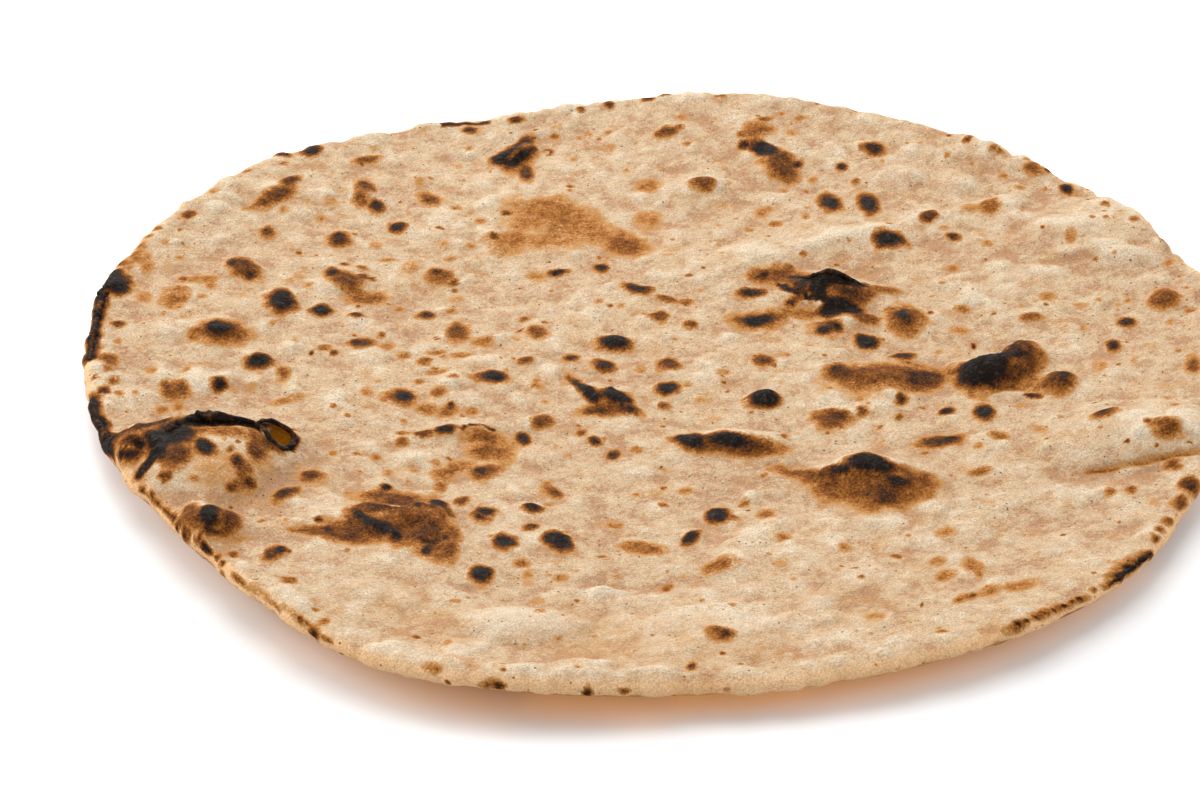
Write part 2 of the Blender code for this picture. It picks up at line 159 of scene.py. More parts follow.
# Scorch marks: (pixel x, pixel y, width, height, heat), and a turn in degrees where there is one. Heat
# 1 is black, 0.7 dark brown, 0.5 brown, 0.3 orange tan and 0.15 a pale tan. Each name says where a
# group lies.
MARKS = {
    "left rim": (
        (117, 285, 30, 24, 1.25), (117, 324, 16, 8, 0.8), (108, 361, 22, 14, 0.62),
        (105, 392, 13, 9, 0.9), (113, 382, 13, 9, 0.45), (94, 378, 9, 5, 0.7), (135, 395, 7, 6, 0.35),
        (189, 214, 14, 9, 0.8, 20), (214, 190, 12, 6, 0.35, 20), (152, 371, 12, 9, 0.32),
        (186, 371, 12, 7, 0.32), (149, 236, 6, 6, 0.5), (141, 245, 7, 6, 0.55), (134, 253, 8, 7, 0.6),
        (122, 264, 14, 9, 0.6, 30), (146, 264, 16, 26, 0.3), (143, 298, 20, 12, 0.28),
        (165, 242, 9, 8, 0.3), (180, 258, 10, 5, 0.28), (132, 258, 46, 12, 0.32, 50),
        (95, 404, 12, 12, 1.1), (104, 421, 16, 11, 1.15, -50), (105, 435, 18, 11, 1.15, -40),
        (116, 440, 14, 10, 0.9),
    ),
    "far left": (
        (277, 194, 50, 19, 0.76, 24), (290, 182, 22, 9, 0.95, 15), (262, 204, 22, 12, 0.67, 15),
        (366, 188, 26, 16, 0.78, -25), (376, 206, 20, 16, 1.01, -35), (362, 200, 20, 18, 0.62),
        (367, 161, 32, 8, 0.69, 5), (283, 164, 8, 4, 0.67), (431, 200, 24, 13, 0.69, -15),
        (330, 202, 16, 12, 0.23), (284, 209, 10, 8, 0.26), (321, 219, 12, 8, 0.26),
        (267, 233, 15, 14, 0.81), (398, 229, 20, 11, 1.06), (339, 239, 25, 16, 0.95, -5),
        (376, 245, 14, 8, 0.26), (420, 182, 12, 7, 0.23), (245, 268, 41, 24, 0.74, -28),
        (233, 263, 14, 12, 0.92), (250, 278, 16, 11, 0.9), (175, 299, 34, 22, 0.42, 10),
        (200, 279, 38, 9, 0.38, 5), (183, 279, 11, 7, 0.62), (211, 285, 9, 9, 0.5),
        (290, 281, 8, 6, 0.32), (308, 285, 8, 6, 0.32),
    ),
    "left": (
        (333, 273, 17, 11, 1.05), (345, 265, 9, 5, 0.7), (344, 278, 44, 20, 0.7, -20),
        (364, 276, 12, 9, 0.85), (372, 279, 6, 5, 0.8), (365, 298, 52, 17, 0.5),
        (352, 289, 28, 12, 0.52, -20), (399, 309, 9, 6, 0.4), (282, 301, 34, 24, 1.2, -8),
        (321, 310, 24, 13, 1.1), (357, 318, 18, 9, 0.8), (441, 278, 34, 19, 0.58, -10),
        (437, 272, 14, 8, 0.95), (454, 284, 8, 7, 0.8), (427, 316, 21, 10, 0.85), (452, 312, 11, 7, 0.45),
        (222, 330, 62, 32, 0.66), (218, 328, 36, 17, 1.15), (244, 334, 26, 12, 0.42, -10),
        (273, 323, 8, 6, 0.35), (363, 344, 29, 13, 0.75, 5), (356, 343, 14, 9, 0.95),
        (386, 347, 18, 9, 0.35), (334, 353, 9, 7, 0.7), (324, 348, 17, 7, 0.42), (312, 354, 4, 5, 1.2),
        (436, 340, 4, 4, 1.2), (520, 331, 4, 4, 1.1), (429, 360, 4, 4, 1.1), (444, 357, 4, 4, 1.1),
        (435, 369, 4, 4, 1.1), (258, 361, 31, 16, 1.2), (283, 374, 17, 17, 0.42), (423, 362, 15, 10, 0.5),
        (436, 353, 23, 5, 0.35, 5), (459, 356, 31, 7, 0.38), (403, 356, 15, 6, 0.35),
        (458, 334, 25, 19, 0.72), (483, 342, 27, 11, 0.4), (174, 392, 30, 22, 0.6),
        (166, 388, 14, 14, 0.62), (182, 390, 14, 20, 0.6), (163, 409, 14, 10, 0.45),
        (178, 408, 14, 8, 0.4), (219, 386, 18, 14, 1.05), (288, 400, 42, 8, 0.32, 14),
        (402, 398, 36, 19, 0.72, -3), (404, 398, 22, 12, 1.2), (439, 393, 18, 11, 0.6),
        (453, 380, 13, 7, 0.45), (366, 391, 15, 10, 0.3), (419, 381, 11, 7, 0.4),
        (437, 372, 26, 5, 0.35, 8), (387, 260, 22, 5, 0.3, 5), (410, 268, 20, 14, 0.22),
        (444, 245, 9, 6, 0.3), (448, 259, 9, 4, 0.3), (457, 300, 14, 7, 0.25), (118, 341, 8, 6, 0.35),
    ),
    "lower left": (
        (210, 513, 32, 36, 0.95), (208, 514, 24, 26, 1.08), (230, 520, 28, 32, 0.75),
        (190, 513, 22, 30, 0.62), (212, 532, 36, 10, 0.75), (311, 477, 27, 14, 0.72, -5),
        (333, 453, 10, 6, 0.35), (358, 455, 14, 7, 0.35), (376, 458, 13, 7, 0.4), (387, 473, 12, 7, 0.35),
        (413, 471, 10, 6, 0.3), (285, 495, 33, 14, 0.88, 18), (263, 522, 9, 4, 0.4),
        (273, 555, 27, 13, 0.8, 25), (280, 551, 14, 8, 1.1, 25), (290, 550, 4, 4, 0.9),
        (233, 553, 13, 7, 0.7), (250, 587, 6, 8, 0.35), (240, 540, 20, 9, 0.25),
    ),
    "burst bubble": (
        (205, 447, 24, 18, 1.25, -25), (238, 462, 16, 24, 0.85, 20), (231, 449, 9, 9, 0.6),
        (255, 452, 19, 26, 0.8, 12), (249, 483, 20, 12, 0.85, -30), (231, 487, 14, 10, 0.6),
        (165, 477, 14, 12, 0.75), (195, 478, 10, 8, 0.3), (172, 434, 48, 34, 1.25, 10),
        (186, 437, 26, 22, 0.78), (158, 446, 28, 34, 1.2, -20), (178, 455, 36, 28, 0.78, 40),
        (134, 455, 34, 22, 0.62, 20), (126, 457, 12, 10, 1.1), (140, 449, 12, 9, 1.05),
        (140, 423, 13, 7, 0.8), (138, 426, 56, 9, 0.55, 14), (272, 446, 28, 9, 0.75, -30),
        (222, 430, 70, 12, 0.45, -4), (110, 446, 24, 20, 0.98, 20), (128, 455, 26, 17, 1.0, 10),
        (141, 446, 20, 16, 0.98), (151, 438, 20, 20, 1.0), (118, 437, 24, 12, 0.8, 20),
        (226, 466, 100, 46, 0.15, -6), (130, 439, 34, 16, 0.84, 10), (243, 470, 22, 44, 0.52, 14),
        (259, 442, 22, 44, 0.6, 12), (240, 484, 34, 12, 0.42), (262, 462, 34, 30, 0.12),
    ),
    "toasted flat": (
        (412, 530, 84, 48, 0.7, -6), (368, 527, 90, 36, 0.68, -2), (318, 532, 56, 14, 0.64, -4),
        (432, 534, 38, 58, 0.68), (345, 536, 72, 20, 0.64, -6), (396, 501, 84, 26, 0.68, -8),
        (362, 510, 56, 22, 0.64, 25), (359, 514, 14, 10, 1.2, -20), (367, 519, 18, 9, 1.2, -38),
        (386, 530, 18, 9, 1.2, -32), (444, 552, 30, 30, 0.6), (452, 540, 20, 40, 0.55),
        (375, 524, 26, 11, 1.25, -30), (395, 536, 18, 9, 1.2, -30), (437, 504, 24, 12, 1.25, -15),
        (418, 509, 9, 7, 1.1), (409, 498, 6, 4, 1.0), (386, 488, 12, 7, 1.15), (328, 529, 14, 8, 1.0),
        (318, 520, 8, 5, 0.95), (426, 552, 12, 10, 1.1), (445, 539, 9, 8, 1.0),
        (402, 505, 44, 12, 0.72, -14), (426, 507, 36, 14, 0.74, -18), (380, 508, 40, 12, 0.66, -8),
    ),
    "middle ridge": (
        (444, 428, 24, 9, 1.1, 8), (425, 434, 24, 8, 0.72, 12), (405, 434, 16, 6, 0.5),
        (402, 445, 15, 9, 0.6), (448, 411, 24, 15, 0.5, 15), (426, 409, 25, 13, 0.45),
        (471, 411, 15, 9, 0.42), (451, 405, 9, 6, 0.85), (484, 439, 48, 22, 0.55, -10),
        (488, 452, 56, 22, 0.5), (481, 473, 18, 9, 0.95), (484, 473, 38, 16, 0.65),
        (444, 475, 32, 17, 0.45, 15), (440, 488, 15, 11, 0.5), (458, 468, 40, 14, 0.4, 10),
        (505, 452, 26, 30, 0.34), (524, 439, 20, 13, 1.1, -35),
    ),
    "centre": (
        (558, 273, 26, 8, 1.06, 5), (536, 276, 22, 6, 0.42), (602, 268, 18, 8, 1.06),
        (638, 290, 32, 11, 1.1, -14), (668, 300, 30, 7, 0.67, -12), (621, 306, 10, 6, 0.26),
        (599, 302, 10, 6, 0.26), (659, 317, 22, 11, 0.67), (690, 325, 18, 9, 0.67),
        (525, 320, 12, 6, 0.67), (537, 334, 26, 13, 0.69, -12), (486, 341, 16, 8, 0.26),
        (614, 342, 42, 16, 1.18), (526, 361, 20, 8, 0.73), (571, 358, 20, 9, 0.81),
        (605, 367, 28, 12, 0.95, -10), (668, 366, 28, 14, 0.76), (641, 370, 12, 8, 0.32),
        (494, 378, 34, 14, 1.18, -8), (480, 378, 24, 10, 0.42), (668, 390, 28, 14, 1.12),
        (664, 407, 14, 8, 0.67), (543, 423, 26, 16, 0.76), (537, 381, 10, 7, 0.32),
        (582, 433, 12, 7, 0.73), (595, 443, 16, 9, 1.1, -10), (614, 455, 14, 11, 0.95, 15),
        (554, 493, 22, 9, 0.73, -25), (547, 487, 14, 12, 0.42), (700, 400, 12, 6, 0.26),
        (545, 402, 8, 5, 0.32),
    ),
    "twin ridge": (
        (584, 386, 44, 11, 1.29, -34), (619, 397, 38, 17, 1.34, -22), (603, 411, 58, 15, 0.74, 2),
        (625, 410, 34, 14, 0.9, -15),
    ),
    "brown ridge": (
        (690, 442, 40, 14, 1.23, -5), (731, 438, 56, 16, 1.29, -6), (735, 444, 112, 24, 0.67, -2),
        (760, 450, 52, 14, 0.62, -8),
    ),
    "lower middle": (
        (461, 502, 18, 9, 0.78, 8), (484, 515, 28, 14, 1.18, 10), (531, 509, 24, 9, 1.12, -5),
        (531, 528, 18, 8, 0.95), (505, 543, 30, 13, 1.18, -5), (559, 543, 36, 18, 1.23, -22),
        (481, 576, 26, 20, 1.23, -10), (521, 564, 22, 10, 0.47), (528, 575, 12, 10, 0.26),
        (560, 578, 16, 8, 0.32), (642, 549, 52, 12, 0.47, -8), (655, 552, 20, 8, 0.62, -10),
        (721, 567, 36, 19, 0.49, 10), (614, 525, 16, 8, 0.42), (685, 491, 16, 7, 0.32, 5),
        (717, 517, 30, 16, 1.18), (690, 539, 24, 12, 1.1, 35), (744, 505, 12, 6, 0.56),
        (767, 515, 22, 11, 0.47), (783, 538, 20, 10, 0.4, 5), (845, 548, 16, 8, 0.32),
        (539, 614, 14, 6, 0.29), (484, 610, 20, 6, 0.16, 8), (447, 645, 10, 8, 0.29, 40),
        (718, 636, 32, 13, 0.58, -6), (725, 638, 14, 7, 0.84), (692, 667, 11, 8, 0.81),
        (783, 562, 12, 6, 0.26), (640, 640, 420, 80, 0.065), (420, 620, 200, 60, 0.05, -20),
        (860, 600, 240, 70, 0.045, 12),
    ),
    "streak patch": (
        (552, 212, 84, 30, 0.42, -4), (578, 228, 96, 30, 0.38, -12), (512, 240, 50, 20, 0.38, 8),
        (494, 238, 12, 8, 0.6), (625, 245, 58, 26, 0.5, -6), (622, 244, 26, 12, 0.62),
        (552, 240, 84, 20, 0.32), (532, 222, 60, 20, 0.34, 6), (648, 186, 30, 14, 0.34, 5),
        (648, 219, 32, 19, 0.28), (506, 214, 13, 5, 0.85), (471, 213, 7, 5, 0.35),
        (479, 221, 13, 6, 0.32), (470, 246, 9, 5, 0.3), (505, 252, 40, 10, 0.26), (470, 131, 18, 7, 1.0),
        (469, 150, 8, 5, 0.3), (574, 161, 8, 5, 0.3),
    ),
    "torn crater": (
        (514, 157, 42, 26, 1.23, 20), (500, 160, 22, 14, 1.12), (526, 172, 16, 20, 0.78),
        (524, 145, 26, 14, 0.9, 30), (531, 150, 12, 24, 0.56, -10), (519, 165, 40, 34, 0.42, 20),
    ),
    "far middle": (
        (667, 133, 30, 12, 0.76, 12), (680, 128, 14, 5, 0.56), (688, 144, 8, 5, 0.37),
        (609, 133, 12, 6, 0.32), (588, 134, 10, 5, 0.32), (611, 148, 14, 6, 0.21),
        (703, 185, 28, 14, 0.69, -5), (650, 186, 34, 10, 0.29, 5), (762, 213, 18, 11, 0.34, -10),
        (783, 192, 12, 6, 0.26), (812, 182, 12, 6, 0.26), (557, 128, 14, 5, 0.21),
    ),
    "torn blister": (
        (764, 151, 34, 14, 1.3, -14), (780, 162, 46, 32, 0.74, -35), (790, 178, 26, 18, 0.55, -30),
        (797, 165, 14, 10, 0.85), (757, 129, 40, 18, 0.5, 10), (744, 146, 12, 10, 0.95),
        (742, 134, 14, 10, 0.5), (765, 120, 18, 6, 0.55), (792, 134, 10, 6, 0.35),
        (800, 118, 14, 5, 0.4, 10), (782, 113, 8, 4, 0.35), (785, 192, 8, 5, 0.35),
    ),
    "far right": (
        (874, 150, 24, 15, 0.98, -10), (842, 167, 12, 9, 1.0), (813, 181, 13, 8, 0.4),
        (856, 182, 11, 7, 0.6), (830, 204, 27, 19, 1.02, -8), (868, 204, 27, 21, 1.1, -40),
        (806, 217, 9, 6, 0.35), (928, 218, 21, 10, 0.85, 10), (953, 237, 17, 9, 0.9, -15),
        (988, 244, 11, 7, 0.38), (943, 227, 12, 6, 0.25), (889, 240, 38, 19, 1.2, -4),
        (990, 208, 27, 15, 0.52), (969, 209, 18, 9, 0.34), (1071, 238, 13, 16, 0.32),
        (1003, 176, 12, 7, 0.28), (1020, 190, 14, 6, 0.28), (953, 268, 13, 9, 0.35),
    ),
    "black fold": (
        (818, 286, 26, 30, 1.25, -10), (832, 272, 68, 16, 0.9, -8), (832, 276, 58, 20, 0.95, -6),
        (800, 279, 44, 20, 0.68, -4), (786, 277, 50, 18, 0.6), (770, 276, 50, 16, 0.58, 6),
        (764, 275, 16, 9, 0.95, 10), (803, 287, 34, 16, 0.86, -14), (838, 304, 34, 16, 1.15),
        (846, 288, 48, 26, 0.7, -15), (850, 296, 40, 22, 0.76, -15), (862, 292, 30, 20, 0.66, -20),
        (843, 308, 18, 14, 1.25), (832, 314, 34, 18, 1.15, 6), (852, 312, 30, 14, 1.05, -10),
        (868, 318, 32, 13, 0.72, -14), (828, 329, 36, 18, 0.74), (823, 332, 18, 10, 1.0),
        (838, 328, 11, 9, 1.08), (751, 295, 32, 11, 1.0, -3), (791, 303, 17, 9, 0.95, 8),
        (757, 321, 52, 11, 1.2, 2), (757, 321, 64, 20, 0.6, 2), (800, 314, 56, 16, 0.42),
        (905, 315, 48, 31, 0.68, -6), (902, 314, 18, 13, 1.05), (930, 314, 6, 5, 0.8),
        (866, 343, 28, 15, 1.25, -15), (885, 290, 34, 9, 0.52, -8),
    ),
    "right": (
        (962, 310, 20, 8, 0.37), (959, 330, 22, 9, 0.32), (1030, 319, 26, 9, 0.54),
        (1048, 296, 20, 10, 0.32), (953, 267, 8, 5, 0.32), (1165, 297, 36, 21, 0.62, 8),
        (1126, 323, 20, 11, 1.03), (1083, 328, 8, 6, 0.32), (1113, 347, 17, 12, 1.03),
        (1170, 322, 9, 6, 0.32), (1128, 301, 8, 5, 0.37), (1099, 302, 8, 5, 0.26), (938, 353, 8, 5, 0.37),
        (900, 356, 22, 5, 0.62), (763, 361, 26, 13, 0.76, -5), (765, 397, 36, 19, 1.34),
        (1035, 396, 16, 5, 0.67), (1022, 405, 12, 6, 0.21), (1100, 366, 18, 12, 0.26),
        (1134, 361, 10, 6, 0.26), (1193, 366, 18, 18, 0.62),
    ),
    "brown plateau": (
        (882, 373, 134, 32, 0.62, -2), (838, 369, 24, 12, 0.88), (924, 377, 54, 24, 0.8, -6),
        (842, 372, 46, 18, 0.7, 10), (902, 356, 28, 8, 0.9),
    ),
    "black dome": (
        (977, 370, 60, 44, 1.2, 4), (996, 362, 34, 30, 1.1, 20), (986, 366, 70, 40, 0.8, 4),
        (1007, 357, 12, 22, 0.95, 60), (1021, 350, 40, 30, 0.74, 20), (1015, 354, 20, 14, 0.86, 20),
        (1026, 365, 40, 34, 0.7, 30), (1010, 374, 44, 28, 0.8), (1004, 386, 60, 14, 0.52, -4),
        (1036, 385, 50, 20, 0.3, 8), (1060, 380, 40, 26, 0.72, 8), (1063, 377, 16, 14, 0.98, 60),
        (1046, 386, 22, 10, 0.5), (1029, 396, 12, 5, 1.1, -12), (1038, 397, 12, 4, 0.8, -10),
        (974, 346, 5, 10, 1.1, 10),
    ),
    "between the domes": (
        (901, 400, 15, 13, 0.81), (899, 417, 9, 7, 0.78), (880, 428, 6, 5, 0.67),
        (832, 421, 42, 24, 0.69, -4), (838, 418, 22, 10, 0.84, -10), (862, 413, 14, 13, 0.73),
        (947, 412, 16, 9, 1.1), (984, 413, 24, 15, 1.1, -8), (998, 436, 26, 9, 0.47),
        (939, 441, 56, 13, 0.81, 6), (950, 439, 20, 7, 0.95), (860, 400, 12, 6, 0.32),
    ),
    "great cone": (
        (800, 473, 60, 12, 0.6, -4), (822, 476, 46, 20, 0.66, -6), (872, 484, 120, 48, 0.56, -2),
        (887, 501, 34, 22, 0.74), (896, 483, 28, 16, 1.0, -10), (882, 496, 72, 38, 0.58),
        (890, 478, 92, 36, 0.56), (866, 459, 56, 20, 1.4, -2), (884, 466, 30, 14, 1.15, -8),
        (842, 470, 38, 14, 1.05, 8), (830, 488, 50, 24, 0.6, -10), (897, 486, 40, 26, 0.64),
        (918, 484, 46, 36, 0.5),
    ),
    "lower right": (
        (981, 471, 26, 8, 0.5, 6), (946, 532, 22, 9, 0.34, 4), (938, 562, 20, 9, 0.36),
        (945, 576, 26, 12, 0.34), (973, 567, 26, 16, 0.38, -20), (1104, 414, 32, 14, 0.72, 15),
        (1103, 413, 17, 7, 0.98, 20), (1166, 430, 34, 22, 0.65, -12), (1131, 491, 13, 12, 0.69),
        (1111, 492, 13, 9, 0.5), (1174, 468, 18, 9, 0.62), (1172, 501, 9, 7, 0.32),
        (1126, 441, 3, 3, 1.23), (1048, 460, 3, 3, 1.23), (965, 599, 28, 10, 0.45, 12),
        (973, 597, 11, 8, 0.72), (990, 592, 30, 9, 0.36, 12), (1022, 585, 44, 10, 0.36, 14),
        (1018, 624, 6, 5, 1.15), (1026, 620, 5, 5, 1.1), (1036, 616, 6, 5, 1.15), (1045, 611, 6, 5, 1.1),
        (1054, 608, 5, 5, 1.15), (1066, 604, 7, 5, 1.15), (1074, 601, 5, 5, 1.1), (1081, 597, 6, 5, 1.1),
        (1040, 430, 18, 8, 0.21),
    ),
    "rim spots": (
        (311, 151, 22, 10, 1.18, 8), (284, 154, 18, 5, 1.01, 12), (246, 169, 12, 5, 0.56, 20),
        (516, 121, 18, 6, 1.01, 5), (581, 112, 10, 6, 0.78), (609, 104, 12, 5, 0.9),
        (648, 99, 16, 5, 1.12, 5), (665, 95, 12, 4, 0.78), (720, 96, 14, 4, 0.67), (949, 133, 8, 5, 0.9),
        (967, 139, 10, 5, 0.78), (994, 147, 10, 5, 0.56), (1033, 169, 24, 11, 0.6, -20),
        (1047, 171, 10, 5, 1.0, -20), (1067, 188, 15, 10, 1.23, -20), (1105, 206, 10, 6, 0.56),
        (1134, 219, 10, 6, 0.56), (1163, 240, 10, 6, 0.42), (146, 491, 7, 7, 0.9),
        (153, 496, 13, 7, 0.85, -35), (160, 504, 7, 8, 0.9), (168, 511, 8, 7, 0.85),
        (176, 516, 6, 6, 0.8), (180, 523, 9, 11, 0.75), (178, 529, 4, 4, 1.0), (188, 529, 7, 6, 0.8),
        (187, 536, 9, 13, 0.85), (198, 540, 9, 8, 0.9), (205, 548, 20, 9, 1.25, -40),
        (216, 555, 9, 9, 0.95), (221, 563, 7, 8, 0.9), (300, 617, 7, 9, 0.85),
        (313, 635, 14, 6, 1.05, -30), (431, 667, 21, 12, 0.5, -15), (499, 686, 13, 5, 1.0),
        (490, 685, 24, 6, 0.5), (587, 692, 8, 4, 0.95), (625, 692, 14, 4, 0.95), (876, 618, 22, 12, 0.24),
        (922, 605, 4, 4, 0.9), (943, 576, 15, 11, 0.4), (979, 575, 10, 8, 0.35),
        (1191, 484, 16, 22, 0.9, 50), (1180, 502, 16, 12, 0.62, 50), (1104, 586, 12, 5, 0.8, 32),
        (1095, 591, 10, 5, 0.62, 30), (1088, 596, 8, 5, 0.85, 30), (1111, 583, 10, 6, 1.0, 30),
        (1120, 577, 13, 9, 1.15, 30), (1132, 569, 10, 6, 1.05, 30), (1139, 563, 12, 8, 1.15, 40),
        (1149, 555, 9, 6, 1.05, 40), (1128, 568, 60, 16, 0.5, 36), (1020, 624, 28, 11, 0.5, 25),
        (1040, 614, 32, 12, 0.5, 22), (1062, 606, 32, 11, 0.5, 18), (1081, 599, 16, 9, 0.5, 22),
        (1168, 520, 11, 8, 0.62, 48), (1161, 529, 9, 7, 0.6, 48), (1155, 538, 11, 8, 0.75, 45),
        (1172, 466, 20, 11, 0.55, 20),
    ),
}

# Scorched lines, and one darker line of painted shade in the right crease: (points in pixels), width in
# millimetres, heat
STREAKS = {
    "left rim upper": (((114, 273), (103, 292), (97, 312), (93, 335), (91, 357)), 3.6, 1.15),
    "left rim lower": (((91, 398), (94, 418), (102, 437), (116, 452)), 4.0, 1.1),
    "burst back": (((110, 435), (125, 429), (140, 425), (155, 421), (168, 418)), 2.6, 0.85),
    "burst crest": (((180, 424), (195, 424), (222, 424), (245, 427), (258, 429)), 3.4, 1.2),
    "burst mouth": (((262, 423), (272, 421), (287, 427), (297, 437), (291, 448), (280, 444)), 2.0, 1.3),
    "lower layer": (((143, 488), (152, 498), (163, 508), (176, 520)), 1.6, 0.8),
    "far rim left": (((443, 125), (462, 123), (486, 122)), 1.6, 1.15),
    "fold foot": (((779, 285), (801, 297), (823, 300), (833, 305)), 1.6, 1.25),
    "crater flap": (((534, 138), (522, 146), (508, 156)), 1.2, 0.7),
    "rim face left": (((204, 548), (240, 580), (290, 614), (330, 641)), 1.0, 0.55),
    "burst smear": (((170, 436), (155, 457), (141, 479)), 3.2, 1.3),
    "fold ridge": (
        ((794, 277), (810, 277), (817, 274), (830, 271), (842, 275), (855, 280), (864, 286)),
        2.0, 1.3,
    ),
    "ridge line": (((461, 427), (465, 425), (473, 424), (485, 426), (493, 430)), 0.9, 1.15),
    "fold top": (((804, 281), (817, 279), (831, 277), (843, 280), (858, 286)), 2.6, 1.1),
    # The right crease line is painted darker along the valley of the fold there, as painted shade in the
    # crease; a faint gold band lies over it.
    "right crease": (((1088, 473), (1110, 469), (1146, 462), (1175, 455), (1199, 451)), 1.0, 0.5),
    "right crease glow": (((1100, 470), (1128, 466), (1160, 458), (1199, 450)), 2.6, 0.1),
    "toasted seam": (((376, 507), (388, 508), (402, 508)), 1.4, 0.74),
    "toasted crest": (
        ((372, 510), (388, 510), (402, 511), (414, 509), (428, 506), (442, 507), (450, 513)),
        3.2, 0.76,
    ),
}

# Small raised forms without a scorch, like marks with a rise in place of the heat: SWELL_GAIN turns
# it into millimetres, and SWELL_ROUND is how their sides fall off
SWELLS = (
    (604, 598, 24, 13, 0.5), (617, 636, 50, 18, 0.45), (465, 648, 56, 18, 0.45, -10),
    (838, 640, 70, 22, 0.55, 8), (812, 606, 40, 15, 0.4), (760, 590, 50, 15, 0.35),
    (566, 590, 40, 14, 0.4), (980, 366, 74, 34, 0.7), (1020, 354, 44, 28, 0.55, 15),
    (1060, 380, 36, 24, 0.4, 8), (914, 174, 30, 12, 0.45, -8), (965, 182, 34, 14, 0.45, -8),
    (1016, 190, 34, 13, 0.45, -10), (1002, 278, 26, 11, 0.4), (989, 302, 24, 10, 0.35),
    (937, 283, 30, 12, 0.35, -5), (1050, 270, 40, 14, 0.4, -8), (517, 618, 140, 38, 0.7, -2),
    (455, 600, 60, 20, 0.45, -15), (609, 595, 40, 18, 0.5), (733, 567, 60, 30, 0.6),
    (705, 624, 150, 36, 0.6, 4), (583, 664, 66, 16, 0.5), (660, 650, 70, 22, 0.4, 3),
    (702, 184, 46, 16, 0.5, -4), (1120, 250, 90, 24, 0.5, -10), (1150, 206, 90, 34, 0.4, -20),
    (1160, 424, 90, 22, 0.5, 4), (860, 580, 70, 26, 0.45, 15), (910, 540, 50, 18, 0.35, 8),
    (640, 470, 60, 20, 0.35), (575, 320, 50, 16, 0.3), (740, 250, 70, 18, 0.4, 14),
    (850, 232, 90, 18, 0.45, 12), (420, 230, 60, 20, 0.3), (250, 430, 40, 16, 0.3),
    (560, 165, 60, 16, 0.35), (640, 160, 50, 14, 0.3), (460, 150, 60, 16, 0.35, 6),
    (345, 610, 70, 18, 0.4, -28), (270, 530, 50, 18, 0.35, -20), (800, 620, 90, 22, 0.4, 8),
    (1010, 500, 60, 20, 0.35, 5), (1060, 545, 60, 18, 0.35, 18),
)
SWELL_GAIN = 1.3
SWELL_ROUND = 0.7

# Thin valleys (below 0) and crests (above 0): (points in pixels), width and rise in millimetres
FOLDS = (
    (((987, 260), (1040, 262), (1090, 254), (1147, 240)), 3.0, -0.45),
    (((1088, 473), (1110, 469), (1146, 462), (1175, 455), (1199, 451)), 1.6, -0.6),
    (((1120, 474), (1150, 468), (1180, 461), (1199, 457)), 2.0, 0.4),
    (((1040, 427), (1075, 412), (1110, 404), (1198, 401)), 2.6, 0.5),
    (((693, 280), (760, 258), (833, 240), (920, 220), (1000, 200)), 3.4, 0.45),
    (((867, 595), (884, 602), (900, 611)), 1.6, -0.35), (((133, 469), (143, 459), (153, 449)), 2.0, -0.5),
    (((442, 604), (480, 603), (520, 606), (570, 604)), 2.2, 0.3),
    (((627, 640), (670, 612), (730, 606), (790, 615)), 2.4, 0.35),
    (((308, 548), (340, 536), (380, 522), (420, 516)), 1.6, 0.3),
    (((779, 289), (801, 301), (823, 304)), 1.4, 0.4), (((640, 420), (700, 428), (790, 430)), 2.2, -0.3),
    (((300, 455), (340, 448), (400, 440)), 1.8, 0.3), (((540, 590), (590, 585), (660, 588)), 2.2, -0.35),
    (((400, 585), (440, 580), (470, 590)), 2.0, -0.3), (((860, 520), (900, 515), (960, 520)), 2.4, -0.35),
    (((480, 140), (540, 132), (600, 120)), 2.0, 0.25),
)
FOLD_SLOPE = 1.6

# Unburnt lines inside scorched ground: (points in pixels), width in millimetres, heat taken away
COOL_LINES = (
    (((526, 146), (518, 152), (509, 160)), 1.7, 0.55), (((476, 515), (488, 518)), 1.2, 0.6),
    (((812, 302), (822, 305)), 0.8, 0.5),
)

